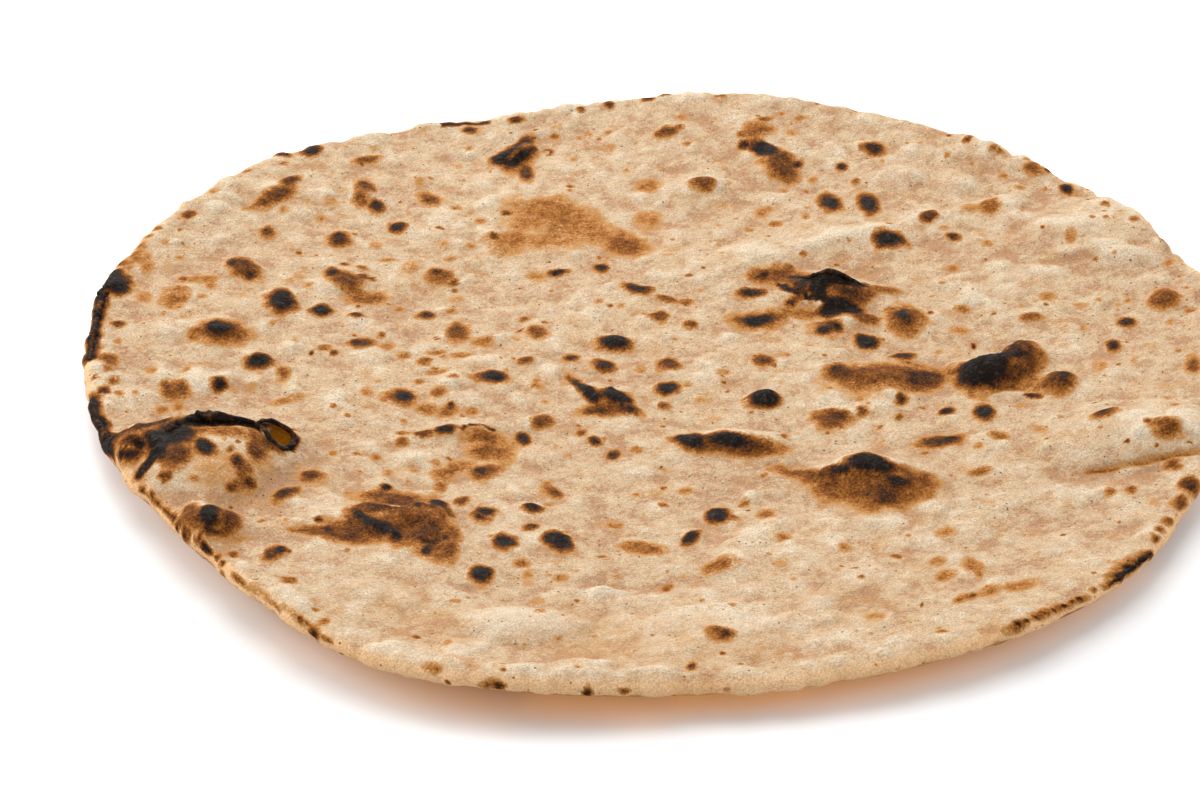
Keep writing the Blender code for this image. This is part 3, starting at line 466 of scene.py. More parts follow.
# Charred, rolled edges of burst bubbles and of the rim: stations of (pixel x, pixel y, lift and
# thickness in millimetres), then how the rolls are meshed and how lumpy they are
ROLLS = {
    "burst lip": (
        (166, 431, 0.0, 1.0), (178, 424, 0.1, 1.7), (190, 419, 0.1, 2.1), (202, 417, 0.2, 2.5),
        (216, 417, 0.2, 2.6), (231, 418, 0.2, 2.2), (244, 421, 0.2, 1.5), (254, 424, 0.2, 1.2),
    ),
    "mouth ring": (
        (252, 426, 0.2, 0.9), (262, 422, 0.3, 1.1), (272, 422, 0.4, 1.2), (282, 427, 0.4, 1.3),
        (291, 433, 0.3, 1.2), (296, 440, 0.2, 1.2), (291, 447, 0.2, 1.2), (283, 450, 0.1, 0.9),
    ),
    "mouth corner": (
        (252, 423, 0.3, 0.9), (259, 427, 0.4, 1.0), (266, 433, 0.4, 0.9), (270, 440, 0.3, 0.9),
        (277, 447, 0.2, 1.0), (284, 451, 0.2, 0.8),
    ),
    "left rim knob": (
        (128, 284, 0.0, 1.4), (121, 283, 0.1, 2.4), (112, 285, 0.1, 2.6), (105, 293, 0.1, 2.0),
        (100, 305, 0.0, 1.6), (96, 320, 0.0, 1.3), (93, 334, 0.0, 1.3), (91, 348, 0.0, 1.0),
        (90, 360, 0.0, 0.6),
    ),
    "left rim corner": (
        (91, 400, 0.0, 0.6), (94, 411, 0.0, 1.2), (99, 424, 0.0, 1.4), (106, 436, 0.0, 1.6),
        (114, 446, 0.0, 1.4), (121, 455, 0.0, 0.9),
    ),
    "fold crest": (
        (798, 278, 0.0, 0.5), (810, 277, 0.0, 0.9), (817, 274, 0.1, 1.2), (830, 271, 0.1, 1.4),
        (842, 275, 0.1, 1.2), (855, 281, 0.0, 0.9), (863, 287, 0.0, 0.5),
    ),
    "fold knot": (
        (832, 309, 0.0, 0.8), (840, 307, 0.1, 1.8), (848, 310, 0.1, 1.7), (856, 314, 0.0, 1.0),
    ),
    "right rim char": (
        (1113, 582, 0.0, 0.5), (1119, 578, 0.0, 1.3), (1125, 572, 0.0, 0.8), (1132, 568, 0.0, 1.3),
        (1138, 563, 0.0, 0.8), (1143, 559, 0.0, 1.2), (1151, 553, 0.0, 0.5),
    ),
}
ROLL_STEP = 0.25
ROLL_SIDES = 14
ROLL_LEAST_RINGS = 6
ROLL_SMOOTHINGS = 3
ROLL_FLAT = 0.75
ROLL_LUMPS = ((3.4, 0.22), (1.7, 0.26), (0.9, 0.20))
ROLL_LUMP_GAIN = 1.6
ROLL_LEAN = 1.7
ROLL_FLOOR = 0.1
ROLL_SEED = 80

# Flat map of the rolls: where a roll's strip starts and how much it covers, along it and around it
ROLL_MAP_ALONG = (0.05, 0.9)
ROLL_MAP_AROUND = (0.1, 0.8)

# Heat of the rolls: its middle, its swing, the wavelength and the seed of its noise
ROLL_HEAT = (1.03, 0.35, 2.0, 99)

# The open mouth of the burst bubble, whose inside is orange: like a mark, with a depth in millimetres
# in place of the heat
MOUTH = (281, 436, 27, 22, 1.4, -32)
MOUTH_EDGE = (0.75, 1.05)
MOUTH_STEEPNESS = 0.6

# Heat of the underside: level, swing and most
UNDER_HEAT = (0.15, 0.75, 0.95)


def smooth_step(value, low, high):
    """0 below low, 1 above high, and an even S between them."""
    t = np.clip((value - low) / (high - low), 0.0, 1.0)
    return t * t * (3.0 - 2.0 * t)


def unit(vector):
    """The vector at length 1."""
    return vector / np.linalg.norm(vector)


def add_object(name, data):
    """A new object in the scene."""
    made = bpy.data.objects.new(name, data)
    bpy.context.scene.collection.objects.link(made)
    return made


# ---- camera


def camera_frame():
    """The camera's place and its forward, right and up directions, in millimetres."""
    tilt = math.radians(CAMERA_ELEVATION)
    forward = np.array((0.0, math.cos(tilt), -math.sin(tilt)))
    right = np.array((1.0, 0.0, 0.0))
    place = np.array(CAMERA_AIM) - CAMERA_DISTANCE * forward
    return place, forward, right, np.cross(right, forward)


def pixel_ray(pixel_x, pixel_y):
    """Start and direction of the view through a pixel of the photograph."""
    place, forward, right, up = camera_frame()
    focal = PHOTO_WIDTH * CAMERA_LENS / CAMERA_SENSOR
    along = (pixel_x - 0.5 * PHOTO_WIDTH) / focal
    across = (0.5 * PHOTO_HEIGHT - pixel_y) / focal
    return place, unit(forward + along * right + across * up)


def make_camera():
    """The camera at the photograph's angle."""
    place, forward, _, _ = camera_frame()
    data = bpy.data.cameras.new("camera")
    data.lens = CAMERA_LENS
    data.sensor_width = CAMERA_SENSOR
    data.clip_start, data.clip_end = CAMERA_CLIP
    camera = add_object("camera", data)
    camera.location = Vector(place * MM)
    camera.rotation_euler = Vector(forward).to_track_quat("-Z", "Y").to_euler()
    bpy.context.scene.camera = camera


# ---- reading the CAD surface


def cad_tree():
    """Search tree of the CAD solid, in millimetres."""
    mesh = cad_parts["roti"].data
    points = [vertex.co / MM for vertex in mesh.vertices]
    faces = [tuple(face.vertices) for face in mesh.polygons]
    return BVHTree.FromPolygons(points, faces)


def blur(values, width):
    """Gaussian blur along the last axis, with the ends held."""
    reach = int(math.ceil(3.0 * width))
    weights = np.exp(-0.5 * (np.arange(-reach, reach + 1) / width) ** 2)
    weights /= weights.sum()
    padded = np.pad(values, [(0, 0)] * (values.ndim - 1) + [(reach, reach)], mode="edge")
    total = np.zeros_like(values)
    for number, weight in enumerate(weights):
        total += weight * padded[..., number:number + values.shape[-1]]
    return total


def blur_raster(raster, width):
    """Gaussian blur of a raster both ways, by a width in millimetres."""
    cells = width / RASTER_STEP
    return blur(blur(raster, cells).T, cells).T


def read_rim(tree):
    """Radius of the solid's outline, seen from above, at even angles from -180 degrees."""
    radii = np.empty(RIM_READINGS)
    for number in range(RIM_READINGS):
        angle = 2.0 * math.pi * number / RIM_READINGS - math.pi
        inside, outside = RIM_BETWEEN
        for _ in range(RIM_HALVINGS):
            middle = 0.5 * (inside + outside)
            spot = Vector((middle * math.cos(angle), middle * math.sin(angle), CLEAR_HEIGHT))
            if tree.ray_cast(spot, DOWN)[0] is None:
                outside = middle
            else:
                inside = middle
        radii[number] = inside
    turned = np.concatenate((radii, radii, radii))
    return blur(turned, RIM_BLUR)[RIM_READINGS:2 * RIM_READINGS]


def rim_radius(rim, angle):
    """Radius of the outline at any angle."""
    place = (angle + math.pi) / (2.0 * math.pi) * RIM_READINGS
    low = np.floor(place).astype(int)
    share = place - low
    return rim[low % RIM_READINGS] * (1.0 - share) + rim[(low + 1) % RIM_READINGS] * share


def read_surface(tree, rim, upper):
    """Height of the upper or lower side on an even raster, smoothed over the facets."""
    count = int(2.0 * RASTER_REACH / RASTER_STEP) + 1
    ticks = np.linspace(-RASTER_REACH, RASTER_REACH, count)
    x, y = np.meshgrid(ticks, ticks)
    distance = np.hypot(x, y)
    pull = np.minimum(1.0, (rim_radius(rim, np.arctan2(y, x)) - EDGE_PULL) / np.maximum(distance, 1.0))
    start = CLEAR_HEIGHT if upper else -CLEAR_HEIGHT
    direction = DOWN if upper else UP
    heights = np.empty(x.size)
    for number, (spot_x, spot_y) in enumerate(zip((x * pull).ravel(), (y * pull).ravel())):
        heights[number] = tree.ray_cast(Vector((spot_x, spot_y, start)), direction)[0].z
    return blur_raster(heights.reshape(x.shape), RASTER_BLUR)


def raster_value(raster, x, y):
    """Value of a raster between its points."""
    count = raster.shape[0]
    step = 2.0 * RASTER_REACH / (count - 1)
    last = count - 1.001
    column = np.clip((x + RASTER_REACH) / step, 0.0, last)
    row = np.clip((y + RASTER_REACH) / step, 0.0, last)
    left = column.astype(int)
    low = row.astype(int)
    across = column - left
    along = row - low
    near = raster[low, left] * (1.0 - across) + raster[low, left + 1] * across
    far = raster[low + 1, left] * (1.0 - across) + raster[low + 1, left + 1] * across
    return near * (1.0 - along) + far * along


# ---- noise and relief


def noise(x, y, wavelength, seed):
    """Smooth random field from about -1 to 1, the same on every run."""
    rng = np.random.default_rng(seed)
    side = int(2.0 * RASTER_REACH / wavelength) + 6
    turn = rng.uniform(0.0, 2.0 * math.pi, (side, side))
    u = (x + RASTER_REACH) / wavelength + 1.0
    v = (y + RASTER_REACH) / wavelength + 1.0
    column = np.floor(u).astype(int)
    row = np.floor(v).astype(int)
    total = np.zeros_like(u)
    for step_x in (0, 1):
        for step_y in (0, 1):
            off_x = u - column - step_x
            off_y = v - row - step_y
            angle = turn[column + step_x, row + step_y]
            near_x = 1.0 - smooth_step(np.abs(off_x), 0.0, 1.0)
            near_y = 1.0 - smooth_step(np.abs(off_y), 0.0, 1.0)
            total += near_x * near_y * (np.cos(angle) * off_x + np.sin(angle) * off_y)
    return NOISE_GAIN * total


def layers(x, y, waves, seed):
    """Noise fields of several wavelengths on top of each other, with seeds that count up."""
    total = np.zeros_like(x)
    for number, (wavelength, swing) in enumerate(waves):
        total += swing * noise(x, y, wavelength, seed + number)
    return total


def bubbles(x, y, seed, count):
    """Many small rounded swellings, spread over the disc by seeded draws."""
    rng = np.random.default_rng(seed)
    total = np.zeros_like(x)
    for _ in range(count):
        angle = rng.uniform(0.0, 2.0 * math.pi)
        distance = BUBBLE_SPREAD * RASTER_REACH * math.sqrt(rng.uniform())
        length = rng.uniform(*BUBBLE_SIZE)
        width = length * rng.uniform(*BUBBLE_WIDTH)
        turn = rng.uniform(0.0, math.pi)
        height = rng.uniform(*BUBBLE_HEIGHT)
        from_x = x - distance * math.cos(angle)
        from_y = y - distance * math.sin(angle)
        near = np.abs(from_x) + np.abs(from_y) < length
        along = from_x[near] * math.cos(turn) + from_y[near] * math.sin(turn)
        across = from_y[near] * math.cos(turn) - from_x[near] * math.sin(turn)
        inside = np.clip(1.0 - (2.0 * along / length) ** 2 - (2.0 * across / width) ** 2, 0.0, None)
        total[near] += height * inside ** BUBBLE_ROUND
    return total


# ---- scorch marks


def spot_on_bread(tree, pixel_x, pixel_y):
    """Where the view through a pixel meets the bread, and the way the crust faces there."""
    start, direction = pixel_ray(pixel_x, pixel_y)
    spot, normal, _, _ = tree.ray_cast(Vector(start), Vector(direction))
    if spot is None:
        spot = tree.find_nearest(Vector(start + direction * nearest_length(start, direction)))[0]
        normal = UP
    facing = Vector((0.0, 0.0, 0.0))
    for _, near_normal, _, _ in tree.find_nearest_range(spot, FACING_REACH):
        if near_normal.dot(normal) > FACING_ALIKE:
            facing += near_normal
    facing = np.array((facing + normal).normalized())
    while facing @ -direction < FACING_LEAST:
        facing = unit(facing - FACING_STEP * direction)
    return np.array(spot), facing


def nearest_length(start, direction):
    """Length of a ray down to the rim's height, for a pixel just outside the outline."""
    return (CAMERA_AIM[2] - start[2]) / direction[2]


def mark_axes(tree, mark):
    """Centre of a mark on the bread, and the matrix that turns a point into the mark's own measure."""
    pixel_x, pixel_y, width, height = mark[:4]
    turn = mark[5] if len(mark) > 5 else 0.0
    centre, facing = spot_on_bread(tree, pixel_x, pixel_y)
    angle = math.radians(turn)
    ends = []
    for reach, quarter in ((width, 0.0), (height, 0.5 * math.pi)):
        step_x = 0.5 * reach * math.cos(angle + quarter)
        step_y = -0.5 * reach * math.sin(angle + quarter)
        start, direction = pixel_ray(pixel_x + step_x, pixel_y + step_y)
        length = ((centre - start) @ facing) / (direction @ facing)
        ends.append(start + length * direction - centre)
    axes = np.column_stack((ends[0], ends[1], MARK_DEPTH * facing))
    return centre, np.linalg.inv(axes)


def mark_distance(points, centre, to_own):
    """Distance of points from a mark's centre, where 1 is its stated edge."""
    own = (points - centre) @ to_own.T
    return np.sqrt((own ** 2).sum(axis=1))


def line_distance(tree, path, width, points):
    """Distance of points to a line on the bread that is given by pixels, where 1 is its edge."""
    places = [spot_on_bread(tree, *pixel)[0] for pixel in path]
    distance = np.full(len(points), np.inf)
    for first, second in zip(places[:-1], places[1:]):
        run = second - first
        share = np.clip(((points - first) @ run) / (run @ run), 0.0, 1.0)
        off = np.linalg.norm(points - first - share[:, None] * run, axis=1)
        distance = np.minimum(distance, off)
    return distance / (0.5 * width)


def small_forms(tree, points):
    """Rise of the small unburnt bumps, crests and valleys that the photograph shows."""
    rise = np.zeros(len(points))
    wobble = 1.0 + layers(points[:, 0], points[:, 1], FORM_WAVES, FORM_SEED)
    for form in SWELLS:
        distance = mark_distance(points, *mark_axes(tree, form)) * wobble
        rise += SWELL_GAIN * form[4] * np.clip(1.0 - distance ** 2, 0.0, None) ** SWELL_ROUND
    for path, width, height in FOLDS:
        distance = line_distance(tree, path, width, points) * wobble
        rise += height * np.exp(-0.5 * (FOLD_SLOPE * distance) ** 2)
    return rise


def heat_at(distance, strength):
    """Heat of a mark at a distance, ready to be added to that of other marks."""
    return (strength * np.clip(HEAT_PEAK - HEAT_SLOPE * distance, 0.0, 1.0)) ** HEAT_BLEND


def scorch(tree, points):
    """Heat of every point: black, brown and tan marks with soft halos, and how far each point rises."""
    wobble = layers(points[:, 0], points[:, 1], EDGE_WAVES, EDGE_SEED)
    pixel_size = CAMERA_DISTANCE * CAMERA_SENSOR / (PHOTO_WIDTH * CAMERA_LENS)
    total = np.zeros(len(points))
    rise = np.zeros(len(points))
    for mark in [mark for group in MARKS.values() for mark in group]:
        centre, to_own = mark_axes(tree, mark)
        size = 0.5 * mark[2] * pixel_size
        near = np.abs(points - centre).sum(axis=1) < MARK_REACH[0] * size + MARK_REACH[1]
        distance = mark_distance(points[near], centre, to_own) * (1.0 + wobble[near])
        total[near] += heat_at(distance, mark[4])
        if mark[4] > PUFF_HEAT and size < PUFF_WIDEST:
            puff = PUFF_RISE * size * np.clip(1.0 - (PUFF_REACH * distance) ** 2, 0.0, None)
            rise[near] = np.maximum(rise[near], puff)
    line_wobble = 1.0 + LINE_WOBBLE * wobble
    for path, width, strength in STREAKS.values():
        total += heat_at(line_distance(tree, path, width, points) * line_wobble, strength)
    total = total ** (1.0 / HEAT_BLEND)
    for path, width, strength in COOL_LINES:
        distance = line_distance(tree, path, width, points) * line_wobble
        total -= strength * np.clip(COOL_EDGE - distance, 0.0, 1.0)
    return np.maximum(total, 0.0), rise


def under_heat(x, y):
    """Scorching of the underside, which lay on the oven's wall: tan and brown patches."""
    level, swing, most = UNDER_HEAT
    return np.clip(level + swing * layers(x, y, UNDER_HEAT_WAVES, UNDER_HEAT_SEED), 0.0, most)


def mouth_share(tree, points):
    """1 inside the open mouth of the burst bubble, where the crumb is orange."""
    centre, to_own = mark_axes(tree, MOUTH)
    own = (points - centre) @ to_own.T
    distance = np.sqrt((own[:, :2] ** 2).sum(axis=1) + (MOUTH_STEEPNESS * own[:, 2]) ** 2)
    return 1.0 - smooth_step(distance, *MOUTH_EDGE)


# ---- the bread's fine mesh


def disc_grid(columns, rows):
    """Unit disc points of a square grid, row by row, by the concentric map of a square to a disc."""
    a, b = np.meshgrid(np.linspace(-1.0, 1.0, columns + 1), np.linspace(-1.0, 1.0, rows + 1))
    a, b = a.ravel(), b.ravel()
    wide = np.abs(a) >= np.abs(b)
    safe_a = np.where(a == 0.0, 1.0, a)
    safe_b = np.where(b == 0.0, 1.0, b)
    share = np.where(wide, a, b)
    quarter = 0.25 * math.pi
    angle = np.where(wide, quarter * b / safe_a, 2.0 * quarter - quarter * a / safe_b)
    return share * np.cos(angle), share * np.sin(angle)


def border(columns, rows):
    """Numbers of a grid's border points, once round counter-clockwise."""
    side = columns + 1
    low = list(range(columns))
    right = [row * side + columns for row in range(rows)]
    high = [rows * side + column for column in range(columns, 0, -1)]
    left = [row * side for row in range(rows, 0, -1)]
    return low + right + high + left


def unit_skin():
    """Places of the skin's points on the unit disc, and their turn round the rim, a half turn in all."""
    top_x, top_y = disc_grid(*TOP_CELLS)
    under_x, under_y = disc_grid(*UNDER_CELLS)
    loop = border(*TOP_CELLS)
    between = RIM_ROWS - 1
    unit_x = np.concatenate([top_x] + [top_x[loop]] * between + [under_x])
    unit_y = np.concatenate([top_y] + [top_y[loop]] * between + [under_y])
    turns = [0.5 * math.pi - math.pi * row / RIM_ROWS for row in range(RIM_ROWS + 1)]
    counts = [top_x.size] + [len(loop)] * between + [under_x.size]
    return unit_x, unit_y, np.repeat(turns, counts)


def grid_faces(columns, rows, start, upper):
    """Faces of a grid, looking up or down."""
    side = columns + 1
    faces = []
    for row in range(rows):
        for column in range(columns):
            first = start + row * side + column
            face = (first, first + 1, first + side + 1, first + side)
            faces.append(face if upper else face[::-1])
    return faces


def seam_faces(fine, coarse):
    """Triangles that join the rim's fine ring to the underside's coarse border."""
    faces = []
    for number, corner in enumerate(coarse):
        following = coarse[(number + 1) % len(coarse)]
        ring = [fine[(UNDER_SHARE * number + step) % len(fine)] for step in range(UNDER_SHARE + 1)]
        half = (UNDER_SHARE + 1) // 2
        for step in range(half):
            faces.append((ring[step], corner, ring[step + 1]))
        faces.append((ring[half], corner, following))
        for step in range(half, UNDER_SHARE):
            faces.append((ring[step], following, ring[step + 1]))
    return faces


def skin_faces():
    """Faces of the upper side, the rim's rows, the underside and the seam between the last two."""
    faces = grid_faces(*TOP_CELLS, 0, True)
    rings = [border(*TOP_CELLS)]
    count = len(rings[0])
    start = (TOP_CELLS[0] + 1) * (TOP_CELLS[1] + 1)
    for _ in range(RIM_ROWS - 1):
        rings.append(list(range(start, start + count)))
        start += count
    for outer, inner in zip(rings[:-1], rings[1:]):
        for number in range(count):
            following = (number + 1) % count
            faces.append((outer[number], inner[number], inner[following], outer[following]))
    faces += grid_faces(*UNDER_CELLS, start, False)
    return faces + seam_faces(rings[-1], [start + number for number in border(*UNDER_CELLS)])


def skin_points(tree, unit_x, unit_y, turn):
    """The skin's points on the CAD surface, and how far each is above its wider surroundings."""
    rim = read_rim(tree)
    upper = read_surface(tree, rim, True)
    lower = read_surface(tree, rim, False)
    angle = np.arctan2(unit_y, unit_x)
    inset = np.where(turn > 0.0, RIM_UPPER, RIM_LOWER) * (1.0 - np.cos(turn))
    reach = np.hypot(unit_x, unit_y) * (rim_radius(rim, angle) - inset)
    x = reach * np.cos(angle)
    y = reach * np.sin(angle)
    high = raster_value(upper, x, y)
    low = raster_value(lower, x, y)
    z = 0.5 * (high + low) + 0.5 * (high - low) * np.sin(turn)
    swell = raster_value(upper - blur_raster(upper, SWELL_BLUR), x, y)
    return np.column_stack((x, y, z)), swell


def flat_map(unit_x, unit_y, turn):
    """Places of the points on the unit square: the upper side and rim large, the underside small."""
    under = turn < UNDER_PATCH_TURN
    spread = np.where(under, UNDER_PATCH[1], TOP_PATCH[1] + RIM_PATCH * (0.5 - turn / math.pi))
    centre = np.where(under, UNDER_PATCH[0], TOP_PATCH[0])
    return np.column_stack((centre + spread * unit_x, centre + spread * unit_y))


def point_normals(mesh):
    """Normals of a mesh's points."""
    normals = np.empty(3 * len(mesh.vertices))
    mesh.vertex_normals.foreach_get("vector", normals)
    return normals.reshape(-1, 3)


def finish_mesh(mesh, values, places):
    """Keep the values that the material reads at each point, and the flat map; shade the mesh smooth."""
    for name, numbers in values.items():
        attribute = mesh.attributes.new(name, "FLOAT", "POINT")
        attribute.data.foreach_set("value", np.asarray(numbers).astype(np.float32))
    layer = mesh.uv_layers.new(name="OFBake")
    corner = np.empty(len(mesh.loops), dtype=np.int32)
    mesh.loops.foreach_get("vertex_index", corner)
    layer.data.foreach_set("uv", places[corner].ravel())
    mesh.shade_smooth()


def upper_relief(tree, points, unit_radius, mouth):
    """Heat and relief of the upper side: bubbles, waves, the mouth, puffed marks, bumps and folds."""
    x, y = points[:, 0], points[:, 1]
    heat, rise = scorch(tree, points)
    relief = bubbles(x, y, BUBBLE_SEED, BUBBLE_COUNT) + layers(x, y, UPPER_WAVES, UPPER_SEED)
    relief += rise + small_forms(tree, points) - MOUTH[4] * mouth
    relief += smooth_step(unit_radius, *RIM_BAND) * layers(x, y, RIM_WAVES, RIM_SEED)
    relief += smooth_step(heat, *CHAR_BAND) * layers(x, y, CHAR_WAVES, CHAR_SEED)
    return heat, relief


def under_relief(points):
    """Relief of the underside, which is flat where the bread rests."""
    x, y = points[:, 0], points[:, 1]
    relief = bubbles(x, y, BUBBLE_SEED + 1, BUBBLE_COUNT // 2) + layers(x, y, UNDER_WAVES, UNDER_SEED)
    return UNDER_RELIEF * relief * smooth_step(points[:, 2], *LIFT_BAND)


def make_bread(tree):
    """The bread: one closed mesh with its relief, its heat and its flat map."""
    unit_x, unit_y, turn = unit_skin()
    points, swell = skin_points(tree, unit_x, unit_y, turn)
    mesh = bpy.data.meshes.new("roti_crust")
    mesh.from_pydata(points * MM, [], skin_faces())
    normals = point_normals(mesh)
    under = turn < UNDER_TURN
    mouth = np.where(under, 0.0, mouth_share(tree, points))
    heat, relief = upper_relief(tree, points, np.hypot(unit_x, unit_y), mouth)
    relief = np.where(under, under_relief(points), relief)
    heat = np.where(under, under_heat(points[:, 0], points[:, 1]), heat)
    points = points + normals * relief[:, None]
    points[:, 2] = np.maximum(points[:, 2], 0.0)
    mesh.vertices.foreach_set("co", (points * MM).ravel())
    mesh.update()
    values = {
        "scorch": heat,
        # The rise also paints the crust paler on swellings and darker in hollows, as painted highlight and
        # painted shade.
        "rise": relief + SWELL_PAINTED_LIGHT_SHARE * swell,
        "mouth": mouth,
        # edge marks the rim's face, which the crust paints a brighter orange: golden crust and painted
        # light.
        "edge": smooth_step(0.5 - turn / math.pi, *EDGE_BAND),
        "under": np.where(under, 1.0, 0.0),
    }
    finish_mesh(mesh, values, flat_map(unit_x, unit_y, turn))
    return add_object("roti_crust", mesh)


# ---- the charred rolls


def roll_stations(tree, stations):
    """Evenly spaced centres and half thicknesses along a roll that is given by pixels."""
    centres = []
    halves = []
    for pixel_x, pixel_y, lift, thickness in stations:
        centres.append(spot_on_bread(tree, pixel_x, pixel_y)[0] + np.array((0.0, 0.0, lift)))
        halves.append(0.5 * thickness)
    centres = np.array(centres)
    length = np.concatenate(([0.0], np.cumsum(np.linalg.norm(np.diff(centres, axis=0), axis=1))))
    rings = max(ROLL_LEAST_RINGS, int(length[-1] / ROLL_STEP))
    places = np.linspace(0.0, length[-1], rings)
    centres = np.column_stack([np.interp(places, length, centres[:, axis]) for axis in range(3)])
    halves = np.interp(places, length, halves)
    for _ in range(ROLL_SMOOTHINGS):
        centres[1:-1] = 0.25 * centres[:-2] + 0.5 * centres[1:-1] + 0.25 * centres[2:]
    return centres, halves


def roll_points(tree, stations, seed):
    """Points of a closed lumpy roll of charred crust, and the number of its rings."""
    centres, halves = roll_stations(tree, stations)
    run = np.gradient(centres, axis=0)
    run /= np.linalg.norm(run, axis=1)[:, None]
    side = np.cross(run, (0.0, 0.0, 1.0))
    side /= np.linalg.norm(side, axis=1)[:, None]
    upward = np.cross(side, run)
    points = [centres[0] - 0.5 * halves[0] * run[0]]
    for centre, half, across, above in zip(centres, halves, side, upward):
        for corner in range(ROLL_SIDES):
            angle = 2.0 * math.pi * corner / ROLL_SIDES
            way = math.cos(angle) * across + ROLL_FLAT * math.sin(angle) * above
            points.append(centre + half * way)
    points.append(centres[-1] + 0.5 * halves[-1] * run[-1])
    points = np.array(points)
    lumps = layers(points[:, 0] + ROLL_LEAN * points[:, 2], points[:, 1], ROLL_LUMPS, seed)
    middles = np.concatenate((centres[:1], np.repeat(centres, ROLL_SIDES, axis=0), centres[-1:]))
    points = middles + (points - middles) * (1.0 + ROLL_LUMP_GAIN * lumps)[:, None]
    points[:, 2] = np.maximum(points[:, 2], ROLL_FLOOR)
    return points, len(centres)


def roll_faces(start, count):
    """Faces of one roll whose points begin at a given number."""
    faces = []
    for corner in range(ROLL_SIDES):
        following = (corner + 1) % ROLL_SIDES
        faces.append((start, start + 1 + following, start + 1 + corner))
        for row in range(count - 1):
            low = start + 1 + row * ROLL_SIDES
            high = low + ROLL_SIDES
            faces.append((low + corner, low + following, high + following, high + corner))
        last = start + 1 + (count - 1) * ROLL_SIDES
        faces.append((last + corner, last + following, start + 1 + count * ROLL_SIDES))
    return faces


def roll_map(number, count):
    """Flat map of one roll: a strip of the unit square of its own."""
    row = np.repeat(np.arange(count), ROLL_SIDES) / count
    column = np.tile(np.arange(ROLL_SIDES), count) / ROLL_SIDES
    along = ROLL_MAP_ALONG[0] + ROLL_MAP_ALONG[1] * np.concatenate(([0.0], row, [1.0]))
    around = ROLL_MAP_AROUND[0] + ROLL_MAP_AROUND[1] * np.concatenate(([0.0], column, [0.0]))
    return np.column_stack((along, (number + around) / len(ROLLS)))


def make_rolls(tree):
    """The charred rolled edges of burst bubbles and of the rim, as one object of closed lumps."""
    points = []
    faces = []
    places = []
    start = 0
    for number, stations in enumerate(ROLLS.values()):
        own, count = roll_points(tree, stations, ROLL_SEED + 2 * number)
        faces += roll_faces(start, count)
        points.append(own)
        places.append(roll_map(number, count))
        start += len(own)
    points = np.concatenate(points)
    mesh = bpy.data.meshes.new("charred_rolls")
    mesh.from_pydata(points * MM, [], faces)
    mesh.update()
    middle, swing, wavelength, seed = ROLL_HEAT
    values = {name: np.zeros(len(points)) for name in ("rise", "mouth", "edge", "under")}
    values["scorch"] = middle + swing * noise(points[:, 0], points[:, 1], wavelength, seed)
    finish_mesh(mesh, values, np.concatenate(places))
    return add_object("charred_rolls", mesh)


# ---- materials


def linear(red, green, blue):
    """Scene colour of a screen colour given from 0 to 255."""
    values = []
    for part in (red, green, blue):
        share = part / 255.0
        values.append(share / 12.92 if share <= 0.04045 else ((share + 0.055) / 1.055) ** 2.4)
    return values


# Light on the bread's upper side, against the light that makes a white surface just show white: a
# crust with a screen colour divided by this shows that colour in the render
LIGHT_LEVEL = (2.14, 2.2, 2.34)


def crust_colour(red, green, blue):
    """Albedo of a crust that shows on screen, in this light, with a colour given from 0 to 255."""
    return tuple(part / level for part, level in zip(linear(red, green, blue), LIGHT_LEVEL)) + (1.0,)


CREAM = crust_colour(226, 197, 163)
PALE = crust_colour(241, 222, 197)
SHADE = crust_colour(202, 158, 122)
GOLD = crust_colour(214, 156, 90)
# The rim's face is painted this bright orange: partly the golden rim crust, partly painted light standing in
# for the light that reaches the rim's face.
RIM_GOLD_AND_LIGHT = (0.60, 0.36, 0.18, 1.0)
AMBER = crust_colour(232, 160, 78)
TAN = crust_colour(190, 122, 58)
BROWN = crust_colour(134, 80, 34)
DARK = crust_colour(74, 43, 22)
BLACK = crust_colour(30, 22, 18)
ASH = crust_colour(96, 82, 72)
ORANGE = crust_colour(200, 128, 24)
FLECK = crust_colour(66, 42, 28)

# Noise fields of the crust's colours and bumps: wavelength in millimetres, detail, roughness, offset
FIELDS = {
    "broad tone": (24.0, 2.0, 0.5, 0.0),
    "middle tone": (5.0, 5.0, 0.68, 3.0),
    "grain tone": (1.5, 4.0, 0.8, 7.0),
    "gold": (7.0, 5.0, 0.75, 11.0),
    "fine grain": (0.36, 2.0, 0.6, 13.0),
    "fleck crowds": (12.0, 1.0, 0.5, 17.0),
    "coarse stir": (2.0, 3.0, 0.6, 21.0),
    "fine stir": (0.55, 3.0, 0.8, 23.0),
    "ash": (0.9, 4.0, 0.75, 27.0),
    "bump grain": (0.55, 3.0, 0.7, 31.0),
    "bump lumps": (3.2, 4.0, 0.6, 33.0),
    "large freckle crowds": (14.0, 1.0, 0.5, 41.0),
    "small freckle crowds": (14.0, 1.0, 0.5, 43.0),
}

# Unburnt crust: what its tone is made of, where its height paints highlight on rises and shade in hollows
# while the fields vary it at random, and the tones from which it turns to shade and to pale
PAINTED_LIGHT_OF_RISE = 0.9
TONE_OF_FIELDS = {"broad tone": 0.6, "middle tone": 3.0, "grain tone": 1.8}
SHADE_TONES = (2.85, 2.15)
PALE_TONES = (2.78, 3.60)
GOLD_RANGE = (0.52, 0.72)
GOLD_MOST = 0.65
# How far the rim's face is painted toward the bright rim colour: golden crust and painted light.
EDGE_PAINTED_LIGHT_MOST = 0.75
UNDER_MOST = 0.7
GRAIN_RANGE = (0.25, 0.75, 0.66, 1.32)

